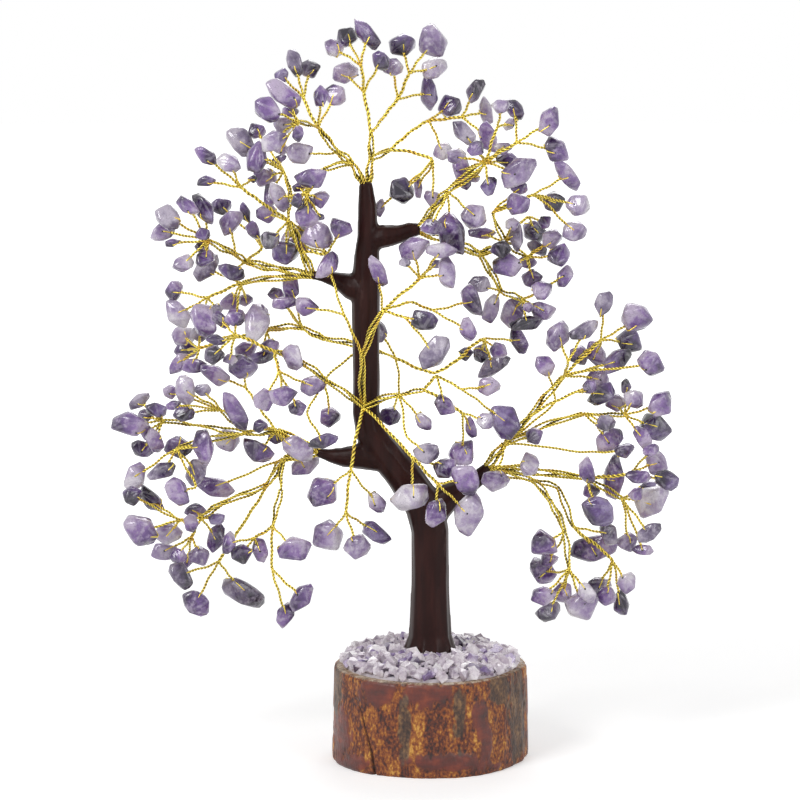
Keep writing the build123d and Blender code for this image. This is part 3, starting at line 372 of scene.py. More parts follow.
class Paint:
    """A material, or the scene's surrounding, while its nodes are made."""

    def __init__(self, owner: Material | bpy.types.World) -> None:
        """Starts with no nodes."""
        self.owner = owner
        owner.use_nodes = True
        self.tree = owner.node_tree
        self.tree.nodes.clear()

    @classmethod
    def material(cls, name: str) -> "Paint":
        """Starts a new material of that name."""
        return cls(bpy.data.materials.new(name))

    def node(
        self,
        kind: str,
        settings: dict[str, object] | None = None,
        sockets: dict[str | int, object] | None = None,
    ) -> bpy.types.Node:
        """Makes one node.

        Args:
            kind: The node's type.
            settings: Its own settings, set first; "stops" are a ramp's places and colours.
            sockets: A number, colour or Link for each named or numbered input.

        Returns:
            The node.
        """
        made = self.tree.nodes.new(kind)
        for name, value in (settings or {}).items():
            if name == "stops":
                self._set_stops(made.color_ramp, value)
            else:
                setattr(made, name, value)
        for name, value in (sockets or {}).items():
            if isinstance(value, Link):
                self.tree.links.new(value.socket, made.inputs[name])
            else:
                made.inputs[name].default_value = value
        return made

    @staticmethod
    def _set_stops(ramp: bpy.types.ColorRamp, stops: Stops) -> None:
        """Gives a ramp its stops in place of the two that it starts with.

        Args:
            ramp: The ramp of a new node.
            stops: The place and the colour of each stop, from low to high.
        """
        while len(ramp.elements) < len(stops):
            ramp.elements.new(0.5)
        for element, (place, colour) in zip(ramp.elements, stops, strict=True):
            element.position = place
            element.color = colour

    def place(self, stretch: Vector = (1, 1, 1)) -> Link:
        """The place on the object.

        Args:
            stretch: How many times longer a pattern becomes along each axis.

        Returns:
            The place in millimetres, divided by the stretch.
        """
        source = self.node("ShaderNodeTexCoord")
        sockets = {
            "Vector": Link(self, source.outputs["Object"]),
            "Scale": tuple(1 / MM / part for part in stretch),
        }
        return Link(self, self.node("ShaderNodeMapping", None, sockets).outputs["Vector"])

    def noise(self, size: float, detail: float = 2, stretch: Vector = (1, 1, 1)) -> Link:
        """Noise from 0 to 1 whose lumps are about size millimetres, longer where it is stretched."""
        sockets = {"Vector": self.place(stretch), "Scale": 1 / size, "Detail": detail}
        return Link(self, self.node("ShaderNodeTexNoise", None, sockets).outputs["Fac"])

    def value(self, name: str) -> Link:
        """A value that the mesh holds at its points."""
        return Link(self, self.node("ShaderNodeAttribute", {"attribute_name": name}).outputs["Fac"])

    def mix(self, share: Link | float, first: Link | Colour, second: Link | Colour) -> Link:
        """The first colour where share is 0 and the second where it is 1."""
        sockets = {0: share, 6: first, 7: second}
        return Link(self, self.node("ShaderNodeMix", {"data_type": "RGBA"}, sockets).outputs[2])

    def ramp(self, along: Link, stops: Stops) -> Link:
        """The colours of the stops, by a value from 0 to 1."""
        return Link(self, self.node("ShaderNodeValToRGB", {"stops": stops}, {0: along}).outputs["Color"])

    def bump(self, height: Link, depth: float) -> Link:
        """A surface normal bent by a height from 0 to 1 that stands for depth millimetres."""
        made = self.node("ShaderNodeBump", None, {"Height": height, "Distance": depth * MM, "Strength": 1.0})
        return Link(self, made.outputs["Normal"])

    def surface(self, **sockets: object) -> Material:
        """Ends the material in a Principled surface.

        Args:
            sockets: Its inputs, with underscores for the spaces in their names.

        Returns:
            The material.
        """
        named = {name.replace("_", " "): value for name, value in sockets.items()}
        made = self.node("ShaderNodeBsdfPrincipled", None, named)
        self.node("ShaderNodeOutputMaterial", None, {"Surface": Link(self, made.outputs[0])})
        return self.owner


class Tone(Enum):
    """The shades of amethyst that the chips are sorted by."""

    DEEP = "deep"
    VIOLET = "violet"
    PALE = "pale"
    SMOKY = "smoky"


@dataclass(frozen=True)
class StoneFinish:
    """Tumbled quartz: a zoned body colour with milky clouds, dark veins, grey painted light on worn edges and
    a polish.
    """

    name: str
    shade: str
    body: str
    glow: str
    milk: str
    milkiness: float
    roughness: float = 0.14
    edge_light_share: float = 0.3
    edge_light_grey: str = "b9b1bf"
    hole_shade: str = "1d1424"
    cloud_size: float = 3.6
    vein_size: float = 1.5
    dimple_size: float = 1.3
    dimple_depth: float = 0.12
    shade_places: tuple[float, ...] = (0.1, 0.38, 0.66, 0.88)

    def make(self) -> Material:
        """Makes the material: the colour runs from shade to milk, and clouds and veins cross it.

        Returns:
            The material.
        """
        paint = Paint.material(self.name)
        clouds = paint.noise(self.cloud_size, 3)
        veins = paint.noise(self.vein_size, 4)
        run = paint.value("zone") * 0.6 + clouds * 1.1 + paint.value("tint") * 0.3 - 0.5
        shades = (self.shade, self.body, self.glow, self.milk)
        colour = paint.ramp(run, list(zip(self.shade_places, map(hue, shades), strict=True)))
        milky = (veins * clouds * 2.2 + paint.value("tint") * 0.2).rise(1 - self.milkiness, 1.1)
        colour = paint.mix(milky * 0.6, colour, hue(self.milk))
        # painted light: paler grey on the worn edges stands in for light showing through the thin stone
        worn_edge_light = paint.value("edge").rise(0.35, 1.0) * veins.rise(0.3, 0.62)
        colour = paint.mix(worn_edge_light * self.edge_light_share, colour, hue(self.edge_light_grey))
        crack = 1 - abs(veins - 0.5).rise(0.0, 0.03)
        colour = paint.mix(crack * 0.35, colour, hue(self.shade))
        return paint.surface(
            # painted shade: the hole buttons are dark as the shade inside the drilled holes
            Base_Color=paint.mix(paint.value("hole"), colour, hue(self.hole_shade)),
            Roughness=veins * 0.14 + self.roughness - 0.06,
            Normal=paint.bump(paint.noise(self.dimple_size, 3), self.dimple_depth),
            IOR=1.54,
            Coat_Weight=0.35,
            Coat_Roughness=0.06,
        )


STONES = {
    Tone.DEEP: StoneFinish("amethyst_deep", "180c26", "38234f", "5e427f", "8b7aa6", 0.16, edge_light_share=0.24),
    Tone.VIOLET: StoneFinish("amethyst_violet", "352048", "634582", "8a6ba6", "bbaac6", 0.36),
    Tone.PALE: StoneFinish("amethyst_pale", "664e7c", "9680ab", "b6a6c3", "dad3dc", 0.55),
    Tone.SMOKY: StoneFinish("amethyst_smoky", "2a2036", "5b4d6c", "857894", "b6acbd", 0.38),
}
GRAVEL = {
    Tone.PALE: StoneFinish("gravel_pale", "88788c", "bdafbd", "d8cdd6", "f1edef", 0.7, 0.3, 0.0),
    Tone.VIOLET: StoneFinish("gravel_violet", "54406f", "8670a0", "aa98b8", "d2c8d6", 0.45, 0.3, 0.0),
    Tone.DEEP: StoneFinish("gravel_dark", "241c2c", "51445e", "80738c", "a99fb2", 0.35, 0.3, 0.0),
}


@dataclass(frozen=True)
class BrassFinish:
    """Fine brass wire: bright, with slow warmer stretches, and dark olive painted in the creases between
    strands as their shade.
    """

    name: str = "brass_wire"
    bright: str = "f4dc62"
    warm: str = "dba53a"
    crease: str = "2b2206"

    def make(self) -> Material:
        """Makes the material: the strands' painted crease shade darkens it, and a slow noise warms it.

        Returns:
            The material.
        """
        paint = Paint.material(self.name)
        colour = paint.mix(paint.noise(5, 2).rise(0.5, 0.72) * 0.6, hue(self.bright), hue(self.warm))
        # painted shade: dark olive where the crease shade value is high, standing in for the shade between
        # strands
        colour = paint.mix(paint.value("crease").rise(0.0, 0.7), colour, hue(self.crease))
        rough = paint.noise(0.8, 2) * 0.16 + 0.22
        return paint.surface(Base_Color=colour, Metallic=0.85, Roughness=rough)


@dataclass(frozen=True)
class ResinFinish:
    """Painted resin: nearly black brown, satin, with a greyer highlight painted on its ridges."""

    name: str = "trunk_resin"
    dark: str = "260f0d"
    brown: str = "331815"
    ridge_highlight: str = "5c4644"
    grain_depth: float = 0.05

    def make(self) -> Material:
        """Makes the material: long streaks of two browns, and a greyer brown painted on the raised ridges as
        a highlight.

        Returns:
            The material.
        """
        paint = Paint.material(self.name)
        streaks = paint.noise(3, 3, (1, 1, 7))
        colour = paint.mix(streaks.rise(0.35, 0.7), hue(self.dark), hue(self.brown))
        # painted highlight: greyer brown in long streaks on the raised ridges
        highlight = paint.value("ridge").rise(0.62, 1.0) * paint.noise(1.2, 3, (1, 1, 3)).rise(0.4, 0.65)
        colour = paint.mix(highlight * 0.55, colour, hue(self.ridge_highlight))
        grain = paint.noise(1.4, 4, (1, 1, 3))
        return paint.surface(
            Base_Color=colour,
            Roughness=streaks * 0.16 + 0.26,
            Normal=paint.bump(grain, self.grain_depth),
            IOR=1.24,
        )


@dataclass(frozen=True)
class BarkFinish:
    """Varnished bark: rust and ochre flakes, smooth red-brown skin, grey dead bark and a pale sawn face."""

    name: str = "branch_wood"
    split_shade: str = "140b09"
    flake_depth: float = 0.35
    rust: Shades = ((0.34, "2b120e"), (0.44, "5a2919"), (0.53, "874822"))
    ochre: Shades = ((0.62, "ac6c2b"), (0.72, "d9a44e"))
    skin: Shades = ((0.3, "38201c"), (0.5, "642a20"), (0.68, "8a3f26"))
    dead: Shades = ((0.36, "2a1f1a"), (0.5, "4b3a2e"), (0.64, "7f6347"))
    sawn: Shades = ((0.36, "4c3a2c"), (0.45, "a08a70"), (0.56, "cfc0ab"), (0.7, "e4dacb"))

    def make(self) -> Material:
        """Makes the material from the kinds of bark that the mesh holds at its points.

        Returns:
            The material.
        """
        paint = Paint.material(self.name)
        flakes, skin, dead, sawn = (
            [(place, hue(code)) for place, code in stops]
            for stops in (self.rust + self.ochre, self.skin, self.dead, self.sawn)
        )
        fleck = paint.noise(0.95, 7, (1, 1, 1.5))
        broad = paint.noise(4.2, 6, (1, 1, 1.8))
        colour = paint.ramp(fleck * 0.72 + broad * 0.62 - 0.16, flakes)
        smooth = paint.ramp(paint.noise(2.2, 4, (3, 3, 1)) * 0.5 + broad * 0.5, skin)
        crust = paint.ramp(fleck * 0.5 + broad * 0.5, dead)
        colour = paint.mix((paint.value("skin") + fleck * 0.7 - 0.35).rise(0.2, 0.75), colour, smooth)
        grey = (paint.value("dead") + fleck * 0.9 - 0.45).rise(0.25, 0.85) * 0.9
        colour = paint.mix(grey, colour, crust)
        # painted shade: the split is painted near black for the shade in its depth
        colour = paint.mix(paint.value("split"), colour, hue(self.split_shade))
        face = paint.ramp(paint.noise(0.9, 4) * 0.6 + paint.noise(2.6, 2) * 0.4, sawn)
        return paint.surface(
            Base_Color=paint.mix(paint.value("sawn"), colour, face),
            Roughness=0.62 - paint.value("skin") * 0.25 + fleck * 0.12,
            Normal=paint.bump(fleck, self.flake_depth),
            Coat_Weight=0.15,
        )


@dataclass(frozen=True)
class PlainFinish:
    """A finish of one colour with a little mottling."""

    name: str
    colour: str
    mottle: str
    roughness: float
    metallic: float = 0.0

    def make(self) -> Material:
        """Makes the material: noise mixes the two colours.

        Returns:
            The material.
        """
        paint = Paint.material(self.name)
        colour = paint.mix(paint.noise(1.5, 3), hue(self.colour), hue(self.mottle))
        rough = paint.noise(0.8, 2) * 0.1 + self.roughness
        return paint.surface(Base_Color=colour, Roughness=rough, Metallic=self.metallic)


@dataclass(frozen=True)
class PhotoView:
    """The camera at the photograph's angle, which looks at the aim point from a little above."""

    aim: Vector = (-11.25, 0.0, 136.4)
    distance: float = 1200.0
    elevation: float = 8.0
    pitch: float = 0.375
    image_px: int = 800
    sensor: float = 36.0

    @property
    def reach_px(self) -> float:
        """The camera's distance from its picture, in pixels."""
        return self.distance / self.pitch

    def ways(self) -> tuple[Points, Points, Points]:
        """The ways ahead, up and to the right of the camera."""
        tilt = math.radians(self.elevation)
        ahead = np.array([0.0, math.cos(tilt), -math.sin(tilt)])
        return ahead, np.array([0.0, math.sin(tilt), math.cos(tilt)]), np.array([1.0, 0.0, 0.0])

    def pixels(self, points: Points) -> tuple[Points, Points]:
        """Where the photograph shows points: their way across or up, times the reach over their depth.

        Args:
            points: The places, with x, y and z last.

        Returns:
            The column and the row of each.
        """
        ahead, up, right = self.ways()
        offset = points - (np.array(self.aim) - self.distance * ahead)
        scale = self.reach_px / (offset @ ahead)
        return self.image_px / 2 + offset @ right * scale, self.image_px / 2 - offset @ up * scale

    def build(self) -> None:
        """Puts the camera in the scene."""
        lens = bpy.data.cameras.new("photo_view")
        lens.sensor_width = self.sensor
        lens.lens = self.sensor * self.reach_px / self.image_px
        camera = placed("photo_view", lens)
        camera.location = (np.array(self.aim) - self.distance * self.ways()[0]) * MM
        camera.rotation_euler = (math.radians(90 - self.elevation), 0, 0)
        bpy.context.scene.camera = camera


@dataclass(frozen=True)
class Lamp:
    """A square soft lamp that faces the middle of the tree."""

    name: str
    place: Vector
    side: float
    watts: float
    target: Vector = PhotoView.aim

    def build(self) -> None:
        """Puts the lamp in the scene: its own -Z way is turned to the target."""
        light = bpy.data.lights.new(self.name, "AREA")
        light.shape = "SQUARE"
        light.size = self.side * MM
        light.energy = self.watts
        made = placed(self.name, light)
        back = unit(np.array(self.place) - np.array(self.target))
        made.location = np.array(self.place) * MM
        made.rotation_euler = (math.acos(back[2]), 0, math.atan2(back[1], back[0]) + math.pi / 2)


@dataclass(frozen=True)
class Studio:
    """A white floor and a white surrounding, lit evenly, with three soft lamps."""

    ambient: float = 0.42
    floor_rings: tuple[float, ...] = (1.0, 260.0, 800.0, 4500.0)
    floor_turns: int = 64
    floor_lift: float = 0.35
    floor_white: Colour = (0.86, 0.86, 0.86, 1)
    near_rings: int = 2
    lamps: tuple[Lamp, ...] = (
        Lamp("key", (-620.0, -760.0, 820.0), 420.0, 6.4),
        Lamp("fill", (760.0, -700.0, 420.0), 520.0, 2.4),
        Lamp("back", (120.0, 760.0, 760.0), 520.0, 2.6),
    )

    @staticmethod
    def _seen(paint: Paint) -> Link:
        """Tells which rays show the surrounding: those from the camera, or sent on by gloss or glass.

        Args:
            paint: The finish or surrounding that asks.

        Returns:
            One for such a ray, and zero for the rest.
        """
        path = paint.node("ShaderNodeLightPath")
        names = ("Is Camera Ray", "Is Glossy Ray", "Is Transmission Ray")
        camera, glossy, through = (Link(paint, path.outputs[name]) for name in names)
        return (camera + glossy + through).at_most(1.0)

    def _floor_finish(self) -> Material:
        """Makes the floor's matt white, which glows for the rays that are seen, and most where it is far off.

        Returns:
            The material.
        """
        finish = Paint.material("white_floor")
        matt = finish.node("ShaderNodeBsdfDiffuse", None, {"Color": self.floor_white})
        glow = self._seen(finish) * (finish.value("far") * (1 - self.floor_lift) + self.floor_lift)
        lift = finish.node("ShaderNodeEmission", None, {"Strength": glow})
        parts = {0: Link(finish, matt.outputs[0]), 1: Link(finish, lift.outputs[0])}
        both = finish.node("ShaderNodeAddShader", None, parts)
        finish.node("ShaderNodeOutputMaterial", None, {"Surface": Link(finish, both.outputs[0])})
        return finish.owner

    def build(self) -> None:
        """Makes the surrounding, the floor, which is rings about the origin, and the lamps."""
        bpy.context.scene.view_settings.view_transform = "Standard"
        bpy.context.scene.world = bpy.data.worlds.new("white_room")
        paint = Paint(bpy.context.scene.world)
        strength = self._seen(paint) * (1 - self.ambient) + self.ambient
        sky = paint.node("ShaderNodeBackground", None, {"Color": (1, 1, 1, 1), "Strength": strength})
        paint.node("ShaderNodeOutputWorld", None, {"Surface": Link(paint, sky.outputs[0])})
        finish = self._floor_finish()
        count, turns = len(self.floor_rings), self.floor_turns
        turn = np.arange(turns) * WHOLE_TURN / turns
        rings = np.array(self.floor_rings)[:, None] * MM
        points = np.stack([rings * np.cos(turn), rings * np.sin(turn), 0 * rings * turn], axis=-1)
        mesh = bpy.data.meshes.new("floor")
        faces = [*ring_walls(count, turns).tolist(), list(range(turns))]
        mesh.from_pydata(points.reshape(-1, 3).tolist(), [], faces)
        far = np.repeat(np.arange(count) >= self.near_rings, turns).astype(float)
        mesh.attributes.new("far", "FLOAT", "POINT").data.foreach_set("value", far)
        mesh.materials.append(finish)
        placed("floor", mesh)
        for lamp in self.lamps:
            lamp.build()


@dataclass(frozen=True)
class Chip:
    """A tumbled chip: a convex body of flat three-cornered faces, whose edges and corners are worn off.

    Each face is drawn to its own middle twice, by the wear and by the flat share. The band between the two
    stays flat, and the strips that join the outer edges of two faces are the worn edges.
    """

    centre: Points
    axes: Points
    corners: Points
    faces: Faces
    wear: float = 0.24
    flat: float = 0.6
    bulge: float = 0.045

    @classmethod
    def from_solid(cls, triangles: Points, growth: float = 1.0) -> "Chip":
        """Reads a chip from its solid.

        Args:
            triangles: The solid's triangles.
            growth: How many times its size it grows about its centre.

        Returns:
            The chip.
        """
        corners, faces = merged(triangles)
        faces = faces[(faces != np.roll(faces, 1, axis=1)).all(axis=1)]
        centre = corners.mean(axis=0)
        axes = np.linalg.svd(corners - centre)[2]
        axes[2] = np.cross(axes[0], axes[1])
        return cls(centre, axes, centre + growth * (corners - centre), faces)

    def planes(self) -> tuple[Points, Points]:
        """The planes of the faces: the normal is the cross product of two edges.

        Returns:
            The outward normal of each face, and its distance from the centre.
        """
        spans = self.corners[self.faces]
        normals = unit(np.cross(spans[:, 1] - spans[:, 0], spans[:, 2] - spans[:, 0]))
        return normals, np.einsum("ij,ij->i", normals, spans[:, 0] - self.centre)

    def radius(self, ways: Points) -> Points:
        """How far the surface is along each way u: the least d / (n . u) of faces of normal n, distance d."""
        normals, distances = self.planes()
        return 1 / (ways @ normals.T / distances).max(axis=-1)

    def normal(self, way: Points) -> Points:
        """The normal of the face that one way leaves by."""
        normals, distances = self.planes()
        return normals[int(np.argmax(normals @ way / distances))]

    def surface(self) -> tuple[Points, list[Faces], Points]:
        """The worn surface.

        Returns:
            Its points, its faces by their number of corners, and for each point 1 on a worn edge or else 0.
        """
        spans = self.corners[self.faces]
        middle = spans.mean(axis=1, keepdims=True)
        reach = np.linalg.norm(spans - middle, axis=-1, keepdims=True).mean(axis=1, keepdims=True)
        outer = spans + self.wear * (middle - spans)
        inner = spans + self.flat * (middle - spans) + self.bulge * reach * self.planes()[0][:, None]
        count = 3 * len(self.faces)
        here = np.arange(count).reshape(-1, 3)
        after, before = np.roll(here, -1, axis=1), np.roll(here, 1, axis=1)
        bands = np.stack([here, after, after + count, here + count], axis=-1).reshape(-1, 4)
        start, end = self.faces.ravel(), np.roll(self.faces, -1, axis=1).ravel()
        forward, backward = start * count + end, end * count + start
        order = np.argsort(forward)
        twin = order[np.searchsorted(forward[order], backward)]
        once = start < end
        following = after.ravel()
        edges = np.stack([following[once], here.ravel()[once], following[twin[once]], twin[once]], axis=-1)
        around = twin[before.ravel()]
        _, first, degree = np.unique(start, return_index=True, return_counts=True)
        walk = [first]
        for _ in range(degree.max() - 1):
            walk.append(around[walk[-1]])
        rounds = np.stack(walk, axis=1)
        caps = [rounds[degree == size, :size] for size in np.unique(degree)]
        # the worn edges, where the stone finish paints paler grey as light through the thin stone
        worn_edge_light = np.repeat([1.0, 0.0], count)
        return np.concatenate([outer, inner]).reshape(-1, 3), [here + count, bands, edges, *caps], worn_edge_light


@dataclass(frozen=True)
class Bar:
    """A straight bar of the frame: the two ends of its axis, and the radius of its corners."""

    start: Points
    end: Points
    radius: float

    @classmethod
    def from_solid(cls, triangles: Points, sides: int) -> "Bar":
        """Reads a bar from the triangles of its solid.

        Its walls are the faces square to the axis. With a wall's normal n, its height h = n . x and the
        axis's place c, n . c + a = h, where a is the walls' distance from the axis. The axis ends where it
        leaves the solid.

        Args:
            triangles: The solid's triangles.
            sides: How many walls the bar has.

        Returns:
            The bar.
        """
        speck, turn_slack, square_slack, end_slope = 0.01, 0.02, 0.01, 0.05
        cross = np.cross(triangles[:, 1] - triangles[:, 0], triangles[:, 2] - triangles[:, 0])
        area = np.linalg.norm(cross, axis=1)
        kept = area > speck
        normals, area = cross[kept] / area[kept, None], area[kept]
        heights = np.einsum("ij,ij->i", normals, triangles[kept, 0])
        first, second = np.triu_indices(len(normals), 1)
        turn = np.einsum("ij,ij->i", normals[first], normals[second])
        pairs = np.abs(turn - math.cos(WHOLE_TURN / sides)) < turn_slack
        ways = unit(np.cross(normals[first[pairs]], normals[second[pairs]]))
        square = np.abs(ways @ normals.T) < square_slack
        walls = square[int(np.argmax(square @ area))]
        along = np.linalg.svd(normals[walls] * area[walls, None])[2][2]
        weights = area[walls]
        table = np.column_stack([normals[walls], np.ones(walls.sum())])
        table = np.vstack([table * weights[:, None], np.append(along, 0.0)])
        *centre, apothem = np.linalg.lstsq(table, np.append(heights[walls] * weights, 0.0), rcond=None)[0]
        slopes = normals @ along
        with np.errstate(divide="ignore"):
            leaves = (heights - normals @ centre) / slopes
        ends = leaves[slopes < -end_slope].max(), leaves[slopes > end_slope].min()
        return cls(centre + ends[0] * along, centre + ends[1] * along, apothem / math.cos(math.pi / sides))

    def passes(self, place: Points, slack: float) -> bool:
        """Whether the bar's axis, drawn on past its ends, passes a place.

        Args:
            place: The place.
            slack: How near counts as passing it.

        Returns:
            Whether it does.
        """
        way = unit(self.end - self.start)
        offset = place - self.start
        return float(np.linalg.norm(offset - (offset @ way) * way)) < slack


@dataclass(frozen=True)
class Run:
    """One stretch of twisted wire from fork to fork, or from a fork to a chip."""

    start: Points
    end: Points
    start_way: Points
    end_way: Points
    radius: float
    phase: float
    pull: float = 0.85
    waves: Span = (9.0, 7.0)

    @property
    def length(self) -> float:
        """The straight distance from end to end."""
        return float(np.linalg.norm(self.end - self.start))

    def line(self, shares: Points, across: Points, over: Points, wander: float) -> Points:
        """The centre line: a Hermite cubic p(s) with the run's ways at its ends, and sines added across it.

        Args:
            shares: The places s along the run, from 0 to 1.
            across: A direction square to the run.
            over: The direction square to both.
            wander: How far the sines reach.

        Returns:
            A point for each share.
        """
        s = shares[:, None]
        pull = self.length * self.pull
        wave = wander * np.sin(math.pi * s) ** 2
        return (
            (2 * s**3 - 3 * s**2 + 1) * self.start
            + (s**3 - 2 * s**2 + s) * pull * self.start_way
            + (3 * s**2 - 2 * s**3) * self.end
            + (s**3 - s**2) * pull * self.end_way
            + wave * np.sin(self.waves[0] * s + self.phase) * across
            + wave * np.sin(self.waves[1] * s + 2 * self.phase) * over
        )


@dataclass
class WireTree:
    """The wire of one bough: its bars, read from the frame and joined into runs at their forks."""

    anchor: Points
    inward: Points
    join_reach: float = 0.2
    root_reach: float = 6.0
    root_depth: float = 1.6
    keep_way: float = 0.45
    lead_way: float = 0.35
    bars: list[Bar] = field(default_factory=list)
    free_ends: list[Points] = field(default_factory=list)

    def read(self, node: Object, sides: int) -> None:
        """Adds the bars of a frame node."""
        self.bars.extend(Bar.from_solid(triangles, sides) for triangles in node_solids(node))

    def _root_end(self, bar: Bar, end: Points) -> bool:
        """Whether an end leaves the root: the bar's axis passes the anchor, and the end is near it."""
        beside = np.linalg.norm(end - self.anchor) < self.root_reach
        return beside and bar.passes(self.anchor, self.join_reach)

    def _forks(self) -> tuple[NDArray[np.int64], Points]:
        """Joins the bars' ends into forks: ends that all but meet share one.

        Returns:
            The two forks of each bar, and the forks' places.
        """
        ends = [[self.anchor if self._root_end(b, e) else e for e in (b.start, b.end)] for b in self.bars]
        ends = np.array(ends).reshape(-1, 3)
        near = np.linalg.norm(ends[:, None] - ends[None], axis=-1) < self.join_reach
        names, labels = np.unique(np.argmax(near, axis=1), return_inverse=True)
        return labels.reshape(-1, 2), ends[names]

    def runs(self, seed: int) -> list[Run]:
        """Orders the bars from the root outwards and bends each to follow its neighbours.

        Args:
            seed: Which random twist they start from.

        Returns:
            The runs, root first.
        """
        random = np.random.default_rng(seed)
        links, places = self._forks()
        root = int(np.argmin(np.linalg.norm(places - self.anchor, axis=1)))
        places[root] = self.anchor + self.root_depth * self.inward
        waiting = [(root, -self.inward)]
        left = set(range(len(self.bars)))
        found: list[tuple[int, int, int, Points]] = []
        while waiting:
            fork, way_in = waiting.pop(0)
            for bar in sorted(left):
                if fork not in links[bar]:
                    continue
                far = int(links[bar][1] if links[bar][0] == fork else links[bar][0])
                left.discard(bar)
                found.append((bar, fork, far, way_in))
                waiting.append((far, unit(places[far] - places[fork])))
        if left:
            log.warning("%d bars are not joined to the root", len(left))
        made = []
        for bar, fork, far, way_in in found:
            way = unit(places[far] - places[fork])
            onward = [unit(places[f] - places[far]) for _, s, f, _ in found if s == far]
            lead = np.mean(onward, axis=0) if onward else np.zeros(3)
            ways = unit(way + self.keep_way * way_in), unit(way + self.lead_way * lead)
            phase = random.uniform(0, WHOLE_TURN)
            made.append(Run(places[fork], places[far], *ways, self.bars[bar].radius, phase))
            if not onward:
                self.free_ends.append(places[far])
        log.info("%d bars, %d forks and ends, %d free", len(self.bars), len(places), len(self.free_ends))
        return made


@dataclass(frozen=True)
class Strands:
    """How the wire is twisted: in pairs of strands, of which a stem has several that part and meet."""

    radius: float = 0.285
    lay: float = 2.7
    slow_lay: float = 60.0
    splay: float = 0.7
    steps_a_turn: int = 8
    least_steps: int = 5
    sides: int = 5
    most: int = 6
    thickest: float = 0.38
    wander: float = 0.28
    full_length: float = 12.0
    slack: float = 0.28
    bundle_shade: float = 0.6

    def yarns(self, outer: float) -> int:
        """The pairs that fit side by side in a ring of that outer radius."""
        fits = [k for k in range(2, self.most + 1) if self._ring(k) + 2 * self.radius < outer + self.slack]
        return max(fits, default=1)

    def _ring(self, yarns: int) -> float:
        """The radius of the ring on which the middles of the pairs lie."""
        return 2 * self.radius / math.sin(math.pi / yarns) if yarns > 1 else 0.0

    def gauge(self, outer: float) -> float:
        """The radius of one strand: a pair that stands alone for a stem is of thicker wire."""
        return min(max(self.radius, outer / 2), self.thickest) if self.yarns(outer) == 1 else self.radius

    def add(self, run: Run, into: Gathered) -> None:
        """Adds a run's strands: quick helices round slow helices round its line, each a tube.

        Args:
            run: The run of wire.
            into: Where the tubes are gathered, with how deep in a crease each point is, which paints its
                shade.
        """
        yarns, gauge = self.yarns(run.radius), self.gauge(run.radius)
        turns, slow_turns = run.length / (self.lay * gauge / self.radius), run.length / self.slow_lay
        shares = np.linspace(0, 1, max(self.least_steps, math.ceil(turns * self.steps_a_turn) + 1))
        chord = unit(run.end - run.start)
        across = unit(np.cross(chord, np.eye(3)[int(np.argmin(np.abs(chord)))]))
        over = np.cross(chord, across)
        line = run.line(shares, across, over, self.wander * min(1.0, run.length / self.full_length))
        apart = self._ring(yarns) * (1 + self.splay * np.sin(math.pi * shares) ** 2)[:, None]
        for yarn in range(yarns):
            slow = (run.phase + WHOLE_TURN * (slow_turns * shares + yarn / yarns))[:, None]
            bundle = np.cos(slow) * across + np.sin(slow) * over
            for half in range(2):
                quick = (run.phase * (1 + yarn) + WHOLE_TURN * (turns * shares + half / 2))[:, None]
                outward = np.cos(quick) * across + np.sin(quick) * over
                centre = line + apart * bundle + gauge * outward
                points, faces = tube(centre, gauge, self.sides, across)
                rims = (points.reshape(len(line), self.sides, 3) - centre[:, None]) / gauge
                # painted shade: the side of each strand that faces its partner, and in a bundle the side
                # facing the middle, is marked dark
                crease = -(rims * outward[:, None]).sum(axis=-1)
                if yarns > 1:
                    inside = -(rims * bundle[:, None]).sum(axis=-1)
                    crease = np.maximum(crease, self.bundle_shade * inside)
                into.add(points, faces, crease=np.clip(crease, 0, 1).ravel())


